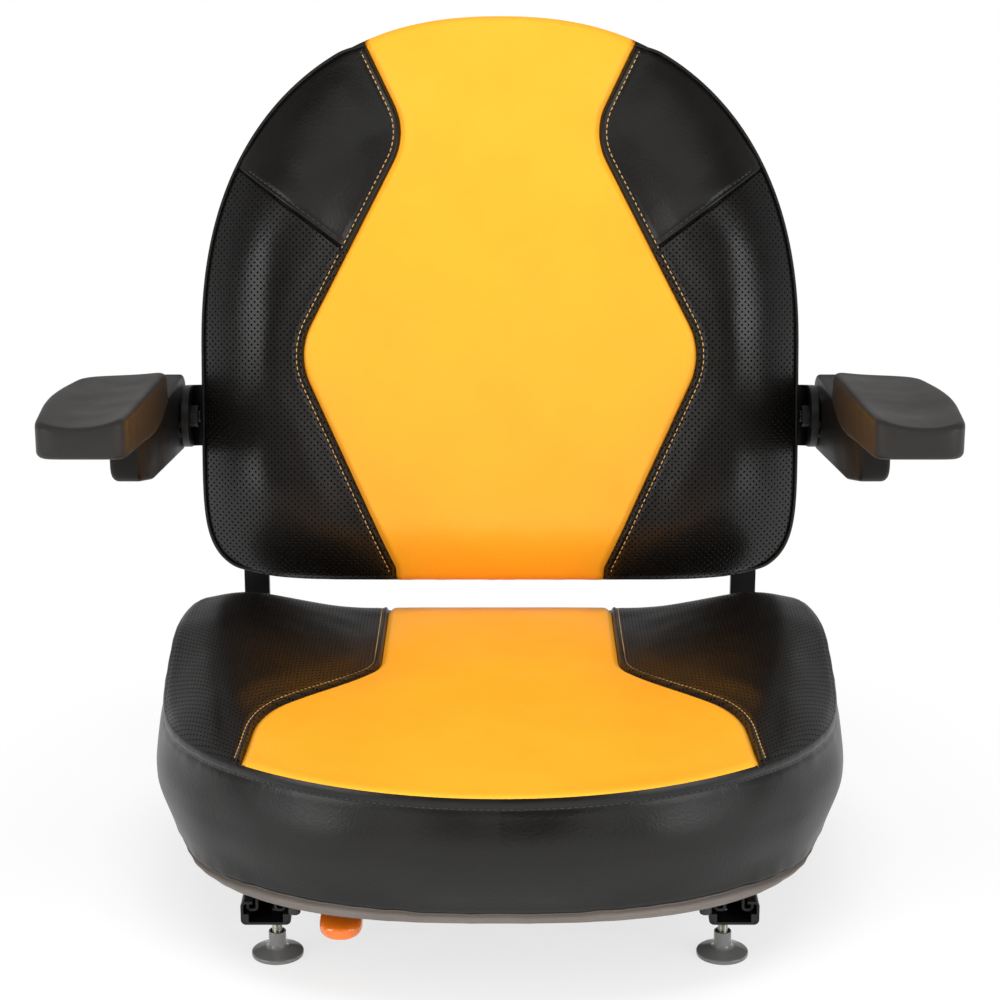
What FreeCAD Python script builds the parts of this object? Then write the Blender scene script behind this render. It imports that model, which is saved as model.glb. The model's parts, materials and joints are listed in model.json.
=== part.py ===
import FreeCAD, Part
import math
import os

# Ride-on mower seat: an upholstered cushion and backrest with a contrasting centre panel, two
# swing-up armrests, and a pair of latched slide rails on four studs with flanged feet.
# Millimetres. The origin is on the floor in the middle of the four studs, +X points to the
# sitter's left, +Y to the rear and +Z up. "left" and "right" are the sitter's own.

SIDES = {"left": 1, "right": -1}
ENDS = {"front": -1, "rear": 1}

# Fits
slip_fit = 0.05
running_gap = 0.3

# Studs and feet
stud_spread = 342.0
stud_wheelbase = 300.0
stud_diameter = 8.0
stud_head_diameter = 12.0
stud_head_height = 4.0
foot_diameter = 40.0
foot_edge = 3.2
foot_cone_rise = 4.0
foot_hub_diameter = 13.4
foot_height = 20.0
foot_mouth_diameter = 10.8
foot_mouth_depth = 5.0
foot_sole = 5.0

# Slide rails
rail_offset = 6.0
rail_sheet = 2.0
rail_bend = 3.0
rail_underside = 36.5
lower_rail_length = 350.0
lower_rail_width = 38.0
lower_rail_height = 19.0
lower_rail_lip = 9.0
upper_rail_length = 340.0
upper_rail_web = 16.0
upper_rail_flange = 30.0
upper_rail_upturn = 6.0
flange_lift = 9.0
glide_width = 4.0
slide_travel = 75.0
stop_diameter = 6.0
stop_height = 14.0
stop_head_diameter = 10.0
stop_head_height = 2.0
stop_tab_sheet = 3.0
stop_tab_clear = 10.0

# Seat pan and its fasteners
pan_height = 76.5
pan_sheet = 3.0
pan_gap = 0.5
rib_length = 240.0
rib_width = 20.0
rib_depth = 5.0
rib_spacing = 90.0
rib_y = 30.0
rail_bolt_y = 110.0
rail_bolt_diameter = 6.0
rail_bolt_head_diameter = 10.4
rail_bolt_head_height = 4.0
nut_height = 6.0
nut_room = 2.0
bolt_end = 2.0
bumper_x = 152.0
bumper_y = -207.0
bumper_diameter = 8.5
bumper_length = 15.0
bumper_stem_diameter = 5.0

# Seat cushion
cushion_mid_y = -5.0
cushion_half_width = 274.0
cushion_front = 253.0
cushion_rear = 215.0
cushion_front_power = 2.08
cushion_rear_power = 4.0
hem_power = 2.68
hem_drop = 8.0
hem_inset = 14.0
hem_wall = 6.0
crease_power = 2.45
crease_height = 1.0
crease_inset = 8.0
belly_power = 2.12
belly_inset = 1.0
seam_margin = 48.0
sheet_margin = 18.0
front_seam_height = 101.0
side_seam_drop = 15.0
side_seam_start = 20.0
hip_seam_rise = 13.0
hip_seam_length = 95.0
rear_seam_drop = 22.0
rear_seam_length = 90.0
crown_front = 98.0
crown_fall = 12.0
bolster_rise = 30.0
bolster_start = 105.0
bolster_crest = 240.0
bolster_tail_length = 80.0
bolster_tail_loss = 0.3
cushion_roll_start = 0.8
panel_sheet = 4.0
panel_root = 20.0
panel_edge_share = 0.985
crown_step = 24.0
seat_panel_left = [(98.0, 190.0, 0), (98.0, 38.0, 60.0), (176.0, -92.0, 120.0), (189.0, -262.0, 0)]

# Backrest
recline = 12.0
back_foot_y = 215.0
back_foot_z = 196.5
back_length = 478.5
back_half_width = 259.0
back_widest = 190.0
back_lower_reach = 201.0
back_upper_power = 2.3
back_lower_power = 8.0
back_depth = 50.0
back_top_thinning = 14.0
back_bolster_rise = 17.0
back_bolster_start = 100.0
back_bolster_crest = 208.0
back_edge_depth = 26.0
back_rim_inset = 6.0
back_band_inset = 1.5
back_band_level = 10.4
back_thinning_start = 289.0
back_bolster_loss = 0.8
back_bolster_foot = 0.6
back_bolster_foot_length = 80.0
back_panel_left = [(126.0, 490.0, 0), (124.0, 470.0, 0), (79.0, 377.0, 55.0), (175.0, 188.0, 60.0),
                   (91.0, 0.0, 0), (91.0, -30.0, 0)]
back_panel_root = 5.0
back_roll_start = 0.72
shell_wall = 3.0
shell_insets = (5.0, 9.0, 26.0, 75.0)
shell_levels = (0.0, 15.2, 30.4, 38.0)
board_sheet = 6.0
board_inset = 24.0

# Uprights
upright_x = 217.0
upright_width = 22.0
upright_sheet = 8.0
upright_bend = 30.0
upright_room = 1.5
shell_slot_height = 40.0
upright_foot_y = 20.0
upright_reach = 300.0
upright_bolt_diameter = 8.0
upright_bolt_head_diameter = 14.0
upright_bolt_head_height = 5.5
upright_bolt_ys = (45.0, 125.0)
back_bolt_heights = (55.0, 255.0)
shell_screw_diameter = 4.0
shell_screw_head_diameter = 8.0
shell_screw_head_height = 3.0
shell_boss_diameter = 14.0
shell_screw_sink = 5.0
shell_screw_x = 150.0
shell_screw_heights = (86.0, 268.0)
shell_middle_screw_heights = (38.0, 407.0)
head_room = 2.0

# Armrests
pivot_height = 132.0
pivot_ahead = 5.5
bracket_sheet = 6.0
bracket_height = 54.0
bracket_ear_face = 278.0
bracket_bend = 9.0
bracket_bolt_spread = 30.0
pivot_diameter = 10.0
pivot_head_diameter = 18.0
pivot_head_height = 5.0
bush_wall = 3.0
bush_flange_diameter = 26.0
bush_flange = 1.7
bush_press = 0.04
arm_width = 24.0
arm_tail_radius = 34.0
arm_tail_corner = 26.5
arm_edge_round = 4.0
arm_head_recess = 7.0
arm_web = 9.0
arm_flange = 20.0
arm_nose_y = -25.0
arm_nose_depth = 32.0
arm_keel_y = 25.0
arm_keel_depth = 55.0
arm_heel_y = 80.0
arm_swing = 95.0
arm_stop_diameter = 6.0
arm_stop_radius = 22.0
arm_stop_angle = 185.0
arm_stop_depth = 8.0
pad_inner_x = 274.0
pad_outer_x = 350.0
pad_front_narrowing = 10.0
pad_rear_narrowing = 8.0
pad_front_y = -130.0
pad_rear_y = 120.0
pad_front_z = 389.5
pad_fall = 24.0
pad_thickness = 29.0
pad_dish_depth = 6.0
pad_belly = 8.0
pad_belly_y = 50.0
pad_tail_rise = 8.0
pad_screw_diameter = 6.0
pad_screw_head_diameter = 11.0
pad_screw_head_height = 4.0
pad_screw_grip = 16.0
pad_screw_inset = 7.5
pad_screw_bite = 12.0
pad_screw_ys = (0.0, 60.0)

# Latch
latch_x = -140.0
latch_y = -60.0
latch_height = 58.5
latch_sheet = 4.0
latch_pin_diameter = 8.0
latch_pin_head_diameter = 15.0
latch_pin_head_height = 2.5
latch_eye_radius = 12.0
latch_drop = 7.0
latch_joggle_start = 90.0
latch_joggle_length = 30.0
latch_bend = 8.0
latch_reach = 152.0
tooth_ahead = 45.0
tooth_width = 9.0
tooth_depth = 12.0
tooth_sheet = 4.0
tooth_gap = 0.6
window_pitch = 15.0
window_width = 10.5
window_depth = 4.5
window_room = 1.0
grip_x = -118.0
grip_width = 34.0
grip_length = 44.0
grip_height = 14.0
grip_nose_round = 15.0
grip_nose_trim = 0.6
grip_lip = 1.5
grip_tip_y = -223.0
spring_wire = 1.6
spring_turns = 3
spring_gap = 0.4

# Sizes worked out from those above
rail_x = stud_spread / 2 + rail_offset
rail_floor = rail_underside + rail_sheet
rail_top = rail_underside + lower_rail_height
flange_underside = rail_underside + flange_lift
pan_top = pan_height + pan_sheet
shell_depth = shell_levels[-1]
pivot_hole = pivot_diameter / 2 + slip_fit
arm_inner_x = bracket_ear_face + running_gap + bush_flange
arm_outer_x = arm_inner_x + arm_width
pad_screw_x = arm_inner_x + pad_screw_inset
pad_slope = pad_fall / (pad_rear_y - pad_front_y)
sitter_right = SIDES["right"]


def vec(x, y, z):
    return FreeCAD.Vector(x, y, z)


# Planes that outlines are drawn on

def on_floor(u, v):
    return vec(u, v, 0)


def across(u, v):
    return vec(u, 0, v)


def sideways(u, v):
    return vec(0, u, v)


# Outlines and plain solids

def rounded_wire(corners, plane):
    """A closed wire through (u, v, radius) corners, each corner rounded by a tangent arc."""
    starts = []
    middles = []
    ends = []
    for i, (u, v, radius) in enumerate(corners):
        corner = vec(u, v, 0)
        before = corners[i - 1]
        after = corners[(i + 1) % len(corners)]
        back = (vec(before[0], before[1], 0) - corner).normalize()
        ahead = (vec(after[0], after[1], 0) - corner).normalize()
        half = back.getAngle(ahead) / 2
        inward = back + ahead
        if radius == 0 or inward.Length < 1e-6:
            starts.append(corner)
            middles.append(None)
            ends.append(corner)
            continue
        inward.normalize()
        tangent = radius / math.tan(half)
        starts.append(corner + back * tangent)
        middles.append(corner + inward * (radius / math.sin(half) - radius))
        ends.append(corner + ahead * tangent)
    edges = []
    for i in range(len(corners)):
        if middles[i] is not None:
            arc = [plane(p.x, p.y) for p in (starts[i], middles[i], ends[i])]
            edges.append(Part.Arc(*arc).toShape())
        here = ends[i]
        there = starts[(i + 1) % len(corners)]
        if (there - here).Length > 1e-6:
            edges.append(Part.makeLine(plane(here.x, here.y), plane(there.x, there.y)))
    return Part.Wire(edges)


def flat_face(wire):
    return Part.makeFace([wire], "Part::FaceMakerBullseye")


def prism(corners, plane, start, length):
    """The rounded outline, moved by start and drawn out along length."""
    face = flat_face(rounded_wire(corners, plane))
    face.translate(start)
    return face.extrude(length)


def folded_strip(points, sheet, bend):
    """Corners of a strip of sheet that follows points, bent with the given middle radius."""
    half = sheet / 2
    left = []
    right = []
    for i, (u, v) in enumerate(points):
        here = vec(u, v, 0)
        runs = []
        if i > 0:
            runs.append((here - vec(*points[i - 1], 0)).normalize())
        if i < len(points) - 1:
            runs.append((vec(*points[i + 1], 0) - here).normalize())
        normals = [vec(-run.y, run.x, 0) for run in runs]
        if len(runs) == 1:
            offset = normals[0] * half
            radii = (0, 0)
        else:
            offset = (normals[0] + normals[1]) * (half / (1 + normals[0].dot(normals[1])))
            turn = runs[0].cross(runs[1]).z
            radii = (bend - half, bend + half) if turn > 0 else (bend + half, bend - half)
        left.append((here.x + offset.x, here.y + offset.y, radii[0]))
        right.append((here.x - offset.x, here.y - offset.y, radii[1]))
    return left + right[::-1]


def rod(diameter, start, length):
    """A cylinder from start along the vector length."""
    return Part.makeCylinder(diameter / 2, length.Length, start, length)


def box_between(low, high):
    size = high - low
    return Part.makeBox(size.x, size.y, size.z, low)


def hex_nut(across_flats, bore, start, length):
    """A hexagon nut with its axis along length."""
    corner = across_flats / 2 / math.cos(math.pi / 6)
    turns = [math.pi / 3 * k for k in range(7)]
    outline = Part.makePolygon([vec(corner * math.cos(a), corner * math.sin(a), 0) for a in turns])
    solid = flat_face(outline).extrude(vec(0, 0, length.Length))
    solid.Placement = FreeCAD.Placement(start, FreeCAD.Rotation(vec(0, 0, 1), length))
    return solid.cut(rod(bore, start, length))


def screw(diameter, head_diameter, head_height, seat, direction, length):
    """A screw whose head sits behind the point seat and whose shank runs along direction."""
    axis = vec(direction.x, direction.y, direction.z).normalize()
    head = rod(head_diameter, seat - axis * head_height, axis * head_height)
    rim = min(head_height, head_diameter / 2) * 0.35
    outer = [e for e in head.Edges if (e.CenterOfMass - seat).dot(axis) < -head_height * 0.9]
    head = head.makeFillet(rim, outer)
    return head.fuse(rod(diameter, seat, axis * length)).removeSplitter()


def mirrored(shape):
    return shape.mirror(vec(0, 0, 0), vec(1, 0, 0))


def on_side(shape, side):
    """The shape as drawn for the left, or its mirror image for the right."""
    return shape if side > 0 else mirrored(shape)


def smooth_step(low, high, value):
    share = min(1.0, max(0.0, (value - low) / (high - low)))
    return share * share * (3 - 2 * share)


# Cushion forms, built as lofts through rings

def outline_radius(angle, half_width, front, rear, front_power, rear_power):
    """Polar radius of a rounded outline that is narrower or squarer at either end."""
    reach, power = (rear, rear_power) if math.sin(angle) > 0 else (front, front_power)
    wide = abs(math.cos(angle)) / half_width
    long = abs(math.sin(angle)) / reach
    return (wide ** power + long ** power) ** (-1 / power)


def even_angles(radius_at, count):
    """Polar angles that space points evenly along an outline, from its front middle."""
    steps = 720
    angles = [-math.pi / 2 + 2 * math.pi * i / steps for i in range(steps + 1)]
    spots = [(radius_at(a) * math.cos(a), radius_at(a) * math.sin(a)) for a in angles]
    travel = [0.0]
    for here, there in zip(spots, spots[1:]):
        travel.append(travel[-1] + math.dist(here, there))
    chosen = []
    k = 0
    for i in range(count):
        goal = travel[-1] * i / count
        while travel[k + 1] < goal:
            k += 1
        share = (goal - travel[k]) / (travel[k + 1] - travel[k])
        chosen.append(angles[k] + share * (angles[k + 1] - angles[k]))
    return chosen


def closed_spline(points):
    curve = Part.BSplineCurve()
    curve.interpolate(Points=points, PeriodicFlag=True)
    return Part.Wire(curve.toShape())


def level(height):
    return lambda x, y: height


def space_above(height_at, low, high, step, tall):
    """The space over a curved sheet of the given heights, between two corners of its plan."""
    columns = math.ceil((high.x - low.x) / step)
    rows = math.ceil((high.y - low.y) / step)
    grid = []
    for i in range(columns + 1):
        x = low.x + (high.x - low.x) * i / columns
        ys = [low.y + (high.y - low.y) * j / rows for j in range(rows + 1)]
        grid.append([vec(x, y, height_at(x, y)) for y in ys])
    sheet = Part.BSplineSurface()
    sheet.interpolate(grid)
    return sheet.toShape().extrude(vec(0, 0, tall))


def edge_roll(share, start):
    """How far the top has turned down to its sewn edge: 0 inside start, 1 at the edge."""
    return max(0.0, (min(share, 1.1) - start) / (1 - start)) ** 2


# Seat cushion

def cushion_radius(angle, grow, power):
    return outline_radius(angle, cushion_half_width + grow, cushion_front + grow,
                          cushion_rear + grow, power, cushion_rear_power)


cushion_angles = even_angles(lambda a: cushion_radius(a, 0, cushion_front_power), 56)


def cushion_ring(grow, power, height_at, share=1.0):
    """A ring of the cushion: its outline grown by grow, scaled by share, at height_at(x, y)."""
    points = []
    for angle in cushion_angles:
        radius = cushion_radius(angle, grow, power) * share
        x = radius * math.cos(angle)
        y = cushion_mid_y + radius * math.sin(angle)
        points.append(vec(x, y, height_at(x, y)))
    return closed_spline(points)


def seam_height(x, y):
    """Height of the sewn edge between the top panel and the side band."""
    front_y = cushion_mid_y - cushion_front
    rear_y = cushion_mid_y + cushion_rear
    drop = side_seam_drop * (1 - smooth_step(cushion_mid_y - side_seam_start, front_y, y))
    hip = hip_seam_rise * smooth_step(cushion_mid_y, cushion_mid_y + hip_seam_length, y)
    tail = rear_seam_drop * smooth_step(rear_y - rear_seam_length, rear_y, y)
    return pan_height + front_seam_height - drop + hip - tail


def crown_height(x, y):
    """Height of the dished top away from its sewn edge."""
    front_y = cushion_mid_y - cushion_front
    rear_y = cushion_mid_y + cushion_rear
    middle = pan_height + crown_front - crown_fall * smooth_step(front_y, rear_y, y)
    rise = bolster_rise * smooth_step(front_y, rear_y - rear_seam_length, y)
    rise = rise * (1 - bolster_tail_loss * smooth_step(rear_y - bolster_tail_length, rear_y, y))
    return middle + rise * smooth_step(bolster_start, bolster_crest, abs(x))


def cushion_top(x, y):
    """Height of the top panel, from the crown down to the sewn edge."""
    angle = math.atan2(y - cushion_mid_y, x)
    share = math.hypot(x, y - cushion_mid_y) / cushion_radius(angle, 0, cushion_front_power)
    roll = edge_roll(share, cushion_roll_start)
    return (1 - roll) * crown_height(x, y) + roll * seam_height(x, y)


def cushion_form():
    """The whole upholstered block: a bulging side band on a flat underside, and a dished top."""
    crease = pan_top + crease_height
    seam = pan_height + front_seam_height - side_seam_drop
    band = Part.makeLoft([
        cushion_ring(-hem_inset, hem_power, level(pan_top - hem_drop)),
        cushion_ring(-crease_inset, crease_power, level(crease)),
        cushion_ring(-belly_inset, belly_power, level((crease + seam) / 2)),
        cushion_ring(0, cushion_front_power, level(seam)),
        cushion_ring(0, cushion_front_power, level(seam + seam_margin)),
    ], True)
    low = vec(-cushion_half_width - sheet_margin, cushion_mid_y - cushion_front - sheet_margin, 0)
    high = vec(cushion_half_width + sheet_margin, cushion_mid_y + cushion_rear + sheet_margin, 0)
    band = band.cut(space_above(cushion_top, low, high, crown_step, 2 * front_seam_height))
    return band.cut(hem_pocket())


def hem_pocket():
    """The space inside the hem for the pan, and the gaps that the uprights leave through."""
    below = pan_top - hem_drop - 1
    face = flat_face(cushion_ring(-hem_inset - hem_wall, hem_power, level(below)))
    pocket = face.extrude(vec(0, 0, pan_top - below))
    half = upright_width / 2 + upright_room
    for side in SIDES.values():
        low = vec(side * upright_x - half, cushion_mid_y, below)
        high = vec(side * upright_x + half, cushion_mid_y + cushion_rear, pan_top)
        pocket = pocket.fuse(box_between(low, high))
    return pocket


def both_sides(half):
    """A whole outline from its left half, whose corners run from rear to front."""
    return half + [(-u, v, radius) for u, v, radius in half[::-1]]


def seat_panel(form):
    """The centre panel, a sheet let into the top of the cushion form."""
    top = pan_height + 2 * front_seam_height
    root = pan_top + panel_root
    cutter = prism(both_sides(seat_panel_left), on_floor, vec(0, 0, root), vec(0, 0, top))
    edge = flat_face(cushion_ring(0, cushion_front_power, level(root), panel_edge_share))
    cutter = cutter.common(edge.extrude(vec(0, 0, top)))
    below = form.translated(vec(0, 0, -panel_sheet))
    return cutter.common(form).cut(below)


# Backrest, drawn lying on its back: x across, y up its length, z towards the sitter

def reclined(shape):
    """Stand a backrest piece up at its place."""
    turn = FreeCAD.Rotation(vec(1, 0, 0), 90 - recline)
    stand = FreeCAD.Placement(vec(0, back_foot_y, back_foot_z), turn)
    return placed(shape, stand)


def placed(shape, placement):
    moved = shape.copy()
    moved.Placement = placement.multiply(moved.Placement)
    return moved


def back_point(height, ahead):
    """(y, z) of a point of the backrest at this height along it, ahead of its parting plane."""
    lean = math.radians(recline)
    y = back_foot_y + height * math.sin(lean) - ahead * math.cos(lean)
    z = back_foot_z + height * math.cos(lean) + ahead * math.sin(lean)
    return y, z


def back_radius(angle, grow):
    return outline_radius(angle, back_half_width + grow, back_lower_reach + grow,
                          back_length - back_widest + grow, back_lower_power, back_upper_power)


back_angles = even_angles(lambda a: back_radius(a, 0), 56)


def back_ring(grow, depth_at, share=1.0):
    points = []
    for angle in back_angles:
        radius = back_radius(angle, grow) * share
        x = radius * math.cos(angle)
        y = back_widest + radius * math.sin(angle)
        points.append(vec(x, y, depth_at(x, y)))
    return closed_spline(points)


def back_crown(x, y):
    """Depth of the front face ahead of the parting plane, away from its edge."""
    top = smooth_step(back_thinning_start, back_length, y)
    foot = back_bolster_foot + (1 - back_bolster_foot) * smooth_step(0, back_bolster_foot_length, y)
    middle = back_depth - back_top_thinning * top
    rise = back_bolster_rise * (1 - back_bolster_loss * top) * foot
    return middle + rise * smooth_step(back_bolster_start, back_bolster_crest, abs(x))


def back_front(x, y):
    """Depth of the front panel, from the crown back to its sewn edge."""
    angle = math.atan2(y - back_widest, x)
    roll = edge_roll(math.hypot(x, y - back_widest) / back_radius(angle, 0), back_roll_start)
    return (1 - roll) * back_crown(x, y) + roll * back_edge_depth


def back_form():
    """The upholstered front of the backrest: a narrow side band and a crowned front panel."""
    band = Part.makeLoft([
        back_ring(-back_rim_inset, level(0)),
        back_ring(-back_band_inset, level(back_band_level)),
        back_ring(0, level(back_edge_depth)),
        back_ring(0, level(back_depth + 2 * back_bolster_rise)),
    ], True)
    margin = back_edge_depth
    low = vec(-back_half_width - margin, back_widest - back_lower_reach - margin, 0)
    high = vec(back_half_width + margin, back_length + margin, 0)
    return band.cut(space_above(back_front, low, high, crown_step, 4 * back_depth))


def back_panel(form):
    """The centre panel, a sheet let into the front of the backrest form."""
    tall = vec(0, 0, 4 * back_depth)
    cutter = prism(both_sides(back_panel_left), on_floor, vec(0, 0, back_panel_root), tall)
    edge = flat_face(back_ring(-2 * panel_sheet, level(back_panel_root)))
    cutter = cutter.common(edge.extrude(tall))
    behind = form.translated(vec(0, 0, -panel_sheet))
    return cutter.common(form).cut(behind)


def bolt_pockets(spots, depth):
    """Pockets, in the parting plane of the back, for the nuts of the bolts at these spots."""
    width = upright_bolt_head_diameter + 2 * nut_room
    return [rod(width, vec(x, y, -1), vec(0, 0, depth + 1)) for x, y in spots]


def back_bolt_spots():
    return [(side * upright_x, y) for side in SIDES.values() for y in back_bolt_heights]


def bracket_bolt_spots():
    heights = [pivot_height + end * bracket_bolt_spread / 2 for end in ENDS.values()]
    return [(side * upright_x, y) for side in SIDES.values() for y in heights]


def back_board():
    face = flat_face(back_ring(-board_inset, level(-board_sheet)))
    board = face.extrude(vec(0, 0, board_sheet))
    hole = upright_bolt_diameter + 2 * slip_fit
    for x, y in back_bolt_spots() + bracket_bolt_spots():
        board = board.cut(rod(hole, vec(x, y, -board_sheet - 1), vec(0, 0, board_sheet + 2)))
    hole = shell_screw_diameter + 2 * slip_fit
    for x, y in shell_screw_spots():
        board = board.cut(rod(hole, vec(x, y, -board_sheet - 1), vec(0, 0, board_sheet + 2)))
    return board


def shell_screw_spots():
    pairs = [(side * shell_screw_x, y) for side in SIDES.values() for y in shell_screw_heights]
    return pairs + [(0, y) for y in shell_middle_screw_heights]


def shell_form(wall):
    """The rear cover's outer form, or its hollow when wall is given."""
    rings = []
    for inset, depth in zip(shell_insets, shell_levels):
        thinned = wall * depth / shell_depth
        rings.append(back_ring(-inset - wall, level(thinned - depth)))
    form = Part.makeLoft(rings, True)
    if wall:
        mouth = flat_face(back_ring(-shell_insets[0] - wall, level(0)))
        form = form.fuse(mouth.extrude(vec(0, 0, 1)))
    return form


def back_shell():
    """The moulded rear cover: a domed wall with screw bosses and slots for the steelwork."""
    outer = shell_form(0)
    shell = outer.cut(shell_form(shell_wall))
    seat = -board_sheet
    for x, y in shell_screw_spots():
        boss = rod(shell_boss_diameter, vec(x, y, seat), vec(0, 0, -shell_depth))
        shell = shell.fuse(boss.common(outer))
    for x, y in shell_screw_spots():
        recess = shell_screw_head_diameter + head_room
        shell = shell.cut(rod(recess, vec(x, y, shell_screw_sink - shell_depth), vec(0, 0, -shell_depth)))
        hole = shell_screw_diameter + 2 * slip_fit
        shell = shell.cut(rod(hole, vec(x, y, seat + 1), vec(0, 0, -shell_depth)))
    bar_back = -board_sheet - upright_sheet
    for side in SIDES.values():
        half = upright_width / 2 + upright_room
        low = vec(side * upright_x - half, back_widest - back_lower_reach - 10, bar_back - upright_room)
        high = vec(side * upright_x + half, shell_slot_height, 1)
        shell = shell.cut(box_between(low, high))
        half = bracket_height / 2 + upright_room
        near, far = sorted((side * upright_x, side * bracket_ear_face))
        low = vec(near, pivot_height - half, bar_back - bracket_sheet - upright_room)
        high = vec(far, pivot_height + half, bar_back + upright_room)
        shell = shell.cut(box_between(low, high))
    return shell


def back_fasteners(spots, behind, nuts):
    """Bolts from behind at these spots, or the nuts on the front of the board."""
    pieces = []
    for x, y in spots:
        if nuts:
            pieces.append(hex_nut(upright_bolt_head_diameter - 1, upright_bolt_diameter + 2 * slip_fit,
                                  vec(x, y, 0), vec(0, 0, nut_height)))
        else:
            pieces.append(screw(upright_bolt_diameter, upright_bolt_head_diameter,
                                upright_bolt_head_height, vec(x, y, behind), vec(0, 0, 1),
                                nut_height + bolt_end - behind))
    return Part.makeCompound(pieces)


def shell_screws():
    pieces = []
    for x, y in shell_screw_spots():
        seat = vec(x, y, shell_screw_sink - shell_depth)
        pieces.append(screw(shell_screw_diameter, shell_screw_head_diameter,
                            shell_screw_head_height, seat, vec(0, 0, 1), shell_depth - shell_screw_sink - 1))
    return Part.makeCompound(pieces)


# Base

def foot(x, y):
    """A flanged foot: a turned cone on a disc, with a blind socket for the stud."""
    disc = foot_diameter / 2
    hub = foot_hub_diameter / 2
    socket = stud_diameter / 2 + slip_fit
    mouth = foot_mouth_diameter / 2
    profile = [
        (0, 0, 0), (disc, 0, 0.8), (disc, foot_edge, 1.2), (hub, foot_edge + foot_cone_rise, 4),
        (hub, foot_height, 0.8), (mouth, foot_height, 0.5),
        (mouth, foot_height - foot_mouth_depth, 0), (socket, foot_height - foot_mouth_depth, 0),
        (socket, foot_sole, 0), (0, foot_sole, 0),
    ]
    face = flat_face(rounded_wire(profile, across))
    solid = face.revolve(vec(0, 0, 0), vec(0, 0, 1), 360)
    solid.translate(vec(x, y, 0))
    return solid


def stud_spots():
    return [(side * stud_spread / 2, end * stud_wheelbase / 2)
            for side in SIDES.values() for end in ENDS.values()]


def mounting_studs():
    pieces = []
    for x, y in stud_spots():
        pieces.append(screw(stud_diameter, stud_head_diameter, stud_head_height,
                            vec(x, y, rail_floor), vec(0, 0, -1), rail_floor - foot_sole))
    return Part.makeCompound(pieces)


def window_spots():
    """Places along the rail of the windows that the latch tooth enters."""
    first = latch_y - tooth_ahead
    ends = lower_rail_length / 2 - window_width
    count = int(slide_travel / window_pitch)
    spots = [first + window_pitch * k for k in range(-count, count + 1)]
    return [y for y in spots if abs(y) < ends]


def lower_rail(side):
    """A folded C channel, with stud holes and, beside the latch, a row of windows."""
    half = lower_rail_width / 2 - rail_sheet / 2
    low = rail_underside + rail_sheet / 2
    high = rail_top - rail_sheet / 2
    lip = lower_rail_width / 2 - lower_rail_lip
    path = [(-lip, high), (-half, high), (-half, low), (half, low), (half, high), (lip, high)]
    start = vec(side * rail_x, -lower_rail_length / 2, 0)
    rail = prism(folded_strip(path, rail_sheet, rail_bend), across, start,
                 vec(0, lower_rail_length, 0))
    for x, y in stud_spots():
        hole = stud_diameter + 2 * slip_fit
        rail = rail.cut(rod(hole, vec(x, y, rail_underside - 1), vec(0, 0, rail_sheet + 2)))
    hole = stop_diameter + 2 * slip_fit
    rail = rail.cut(rod(hole, vec(side * rail_x, 0, rail_underside - 1), vec(0, 0, rail_sheet + 2)))
    if side == sitter_right:
        wall = side * (rail_x - lower_rail_width / 2)
        low = latch_height - tooth_depth - window_room
        for y in window_spots():
            corner = vec(wall - window_depth, y - window_width / 2, low)
            rail = rail.cut(Part.makeBox(window_depth + 1, window_width, rail_top + 1 - low, corner))
    return rail


def glide_strips(side):
    """Two plastic runners in the lower corners of the channel."""
    inside = lower_rail_width / 2 - rail_sheet
    chamfer = rail_bend * 0.6
    top = flange_underside - running_gap
    profile = [(inside - glide_width, rail_floor, 0), (inside - chamfer, rail_floor, 0),
               (inside, rail_floor + chamfer, 0), (inside, top, 0.6), (inside - glide_width, top, 0.6)]
    strip = prism(profile, across, vec(0, -lower_rail_length / 2, 0), vec(0, lower_rail_length, 0))
    centre = vec(side * rail_x, 0, 0)
    return Part.makeCompound([strip.translated(centre), mirrored(strip).translated(centre)])


def travel_stops():
    pieces = []
    for side in SIDES.values():
        pieces.append(screw(stop_diameter, stop_head_diameter, stop_head_height,
                            vec(side * rail_x, 0, rail_underside), vec(0, 0, 1), rail_sheet + stop_height))
    return Part.makeCompound(pieces)


# Seat frame

def upper_rail(side):
    """A folded hat section that runs in the channel, with two stop tabs inside it."""
    half = rail_sheet / 2
    web = upper_rail_web / 2 - half
    flange = upper_rail_flange / 2 - half
    low = flange_underside + half
    top = pan_height - half
    tip = flange_underside + upper_rail_upturn
    path = [(-flange, tip), (-flange, low), (-web, low), (-web, top)]
    path = path + [(-u, v) for u, v in path[::-1]]
    start = vec(0, -upper_rail_length / 2, 0)
    rail = prism(folded_strip(path, rail_sheet, rail_bend * 0.8), across, start,
                 vec(0, upper_rail_length, 0))
    tab_half = upper_rail_web / 2 - rail_sheet / 2
    stop_reach = slide_travel + stop_diameter / 2 + running_gap
    for end in ENDS.values():
        near, far = sorted((end * stop_reach, end * (stop_reach + stop_tab_sheet)))
        tab = box_between(vec(-tab_half, near, rail_floor + stop_tab_clear),
                          vec(tab_half, far, pan_height - rail_sheet / 2))
        rail = rail.fuse(tab)
    rail = rail.removeSplitter()
    for end in ENDS.values():
        hole = rail_bolt_diameter + 2 * slip_fit
        rail = rail.cut(rod(hole, vec(0, end * rail_bolt_y, pan_height - rail_sheet - 1),
                            vec(0, 0, rail_sheet + 2)))
    return rail.translated(vec(side * rail_x, 0, 0))


def rail_bolt_spots():
    return [(side * rail_x, end * rail_bolt_y) for side in SIDES.values() for end in ENDS.values()]


def upright_bolt_spots():
    return [(side * upright_x, y) for side in SIDES.values() for y in upright_bolt_ys]


def pan_fasteners(spots, diameter, head_diameter, head_height, seat_z):
    """Bolts that come up through the pan at these spots."""
    pieces = []
    for x, y in spots:
        length = pan_top + nut_height + bolt_end - seat_z
        pieces.append(screw(diameter, head_diameter, head_height, vec(x, y, seat_z), vec(0, 0, 1), length))
    return Part.makeCompound(pieces)


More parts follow.
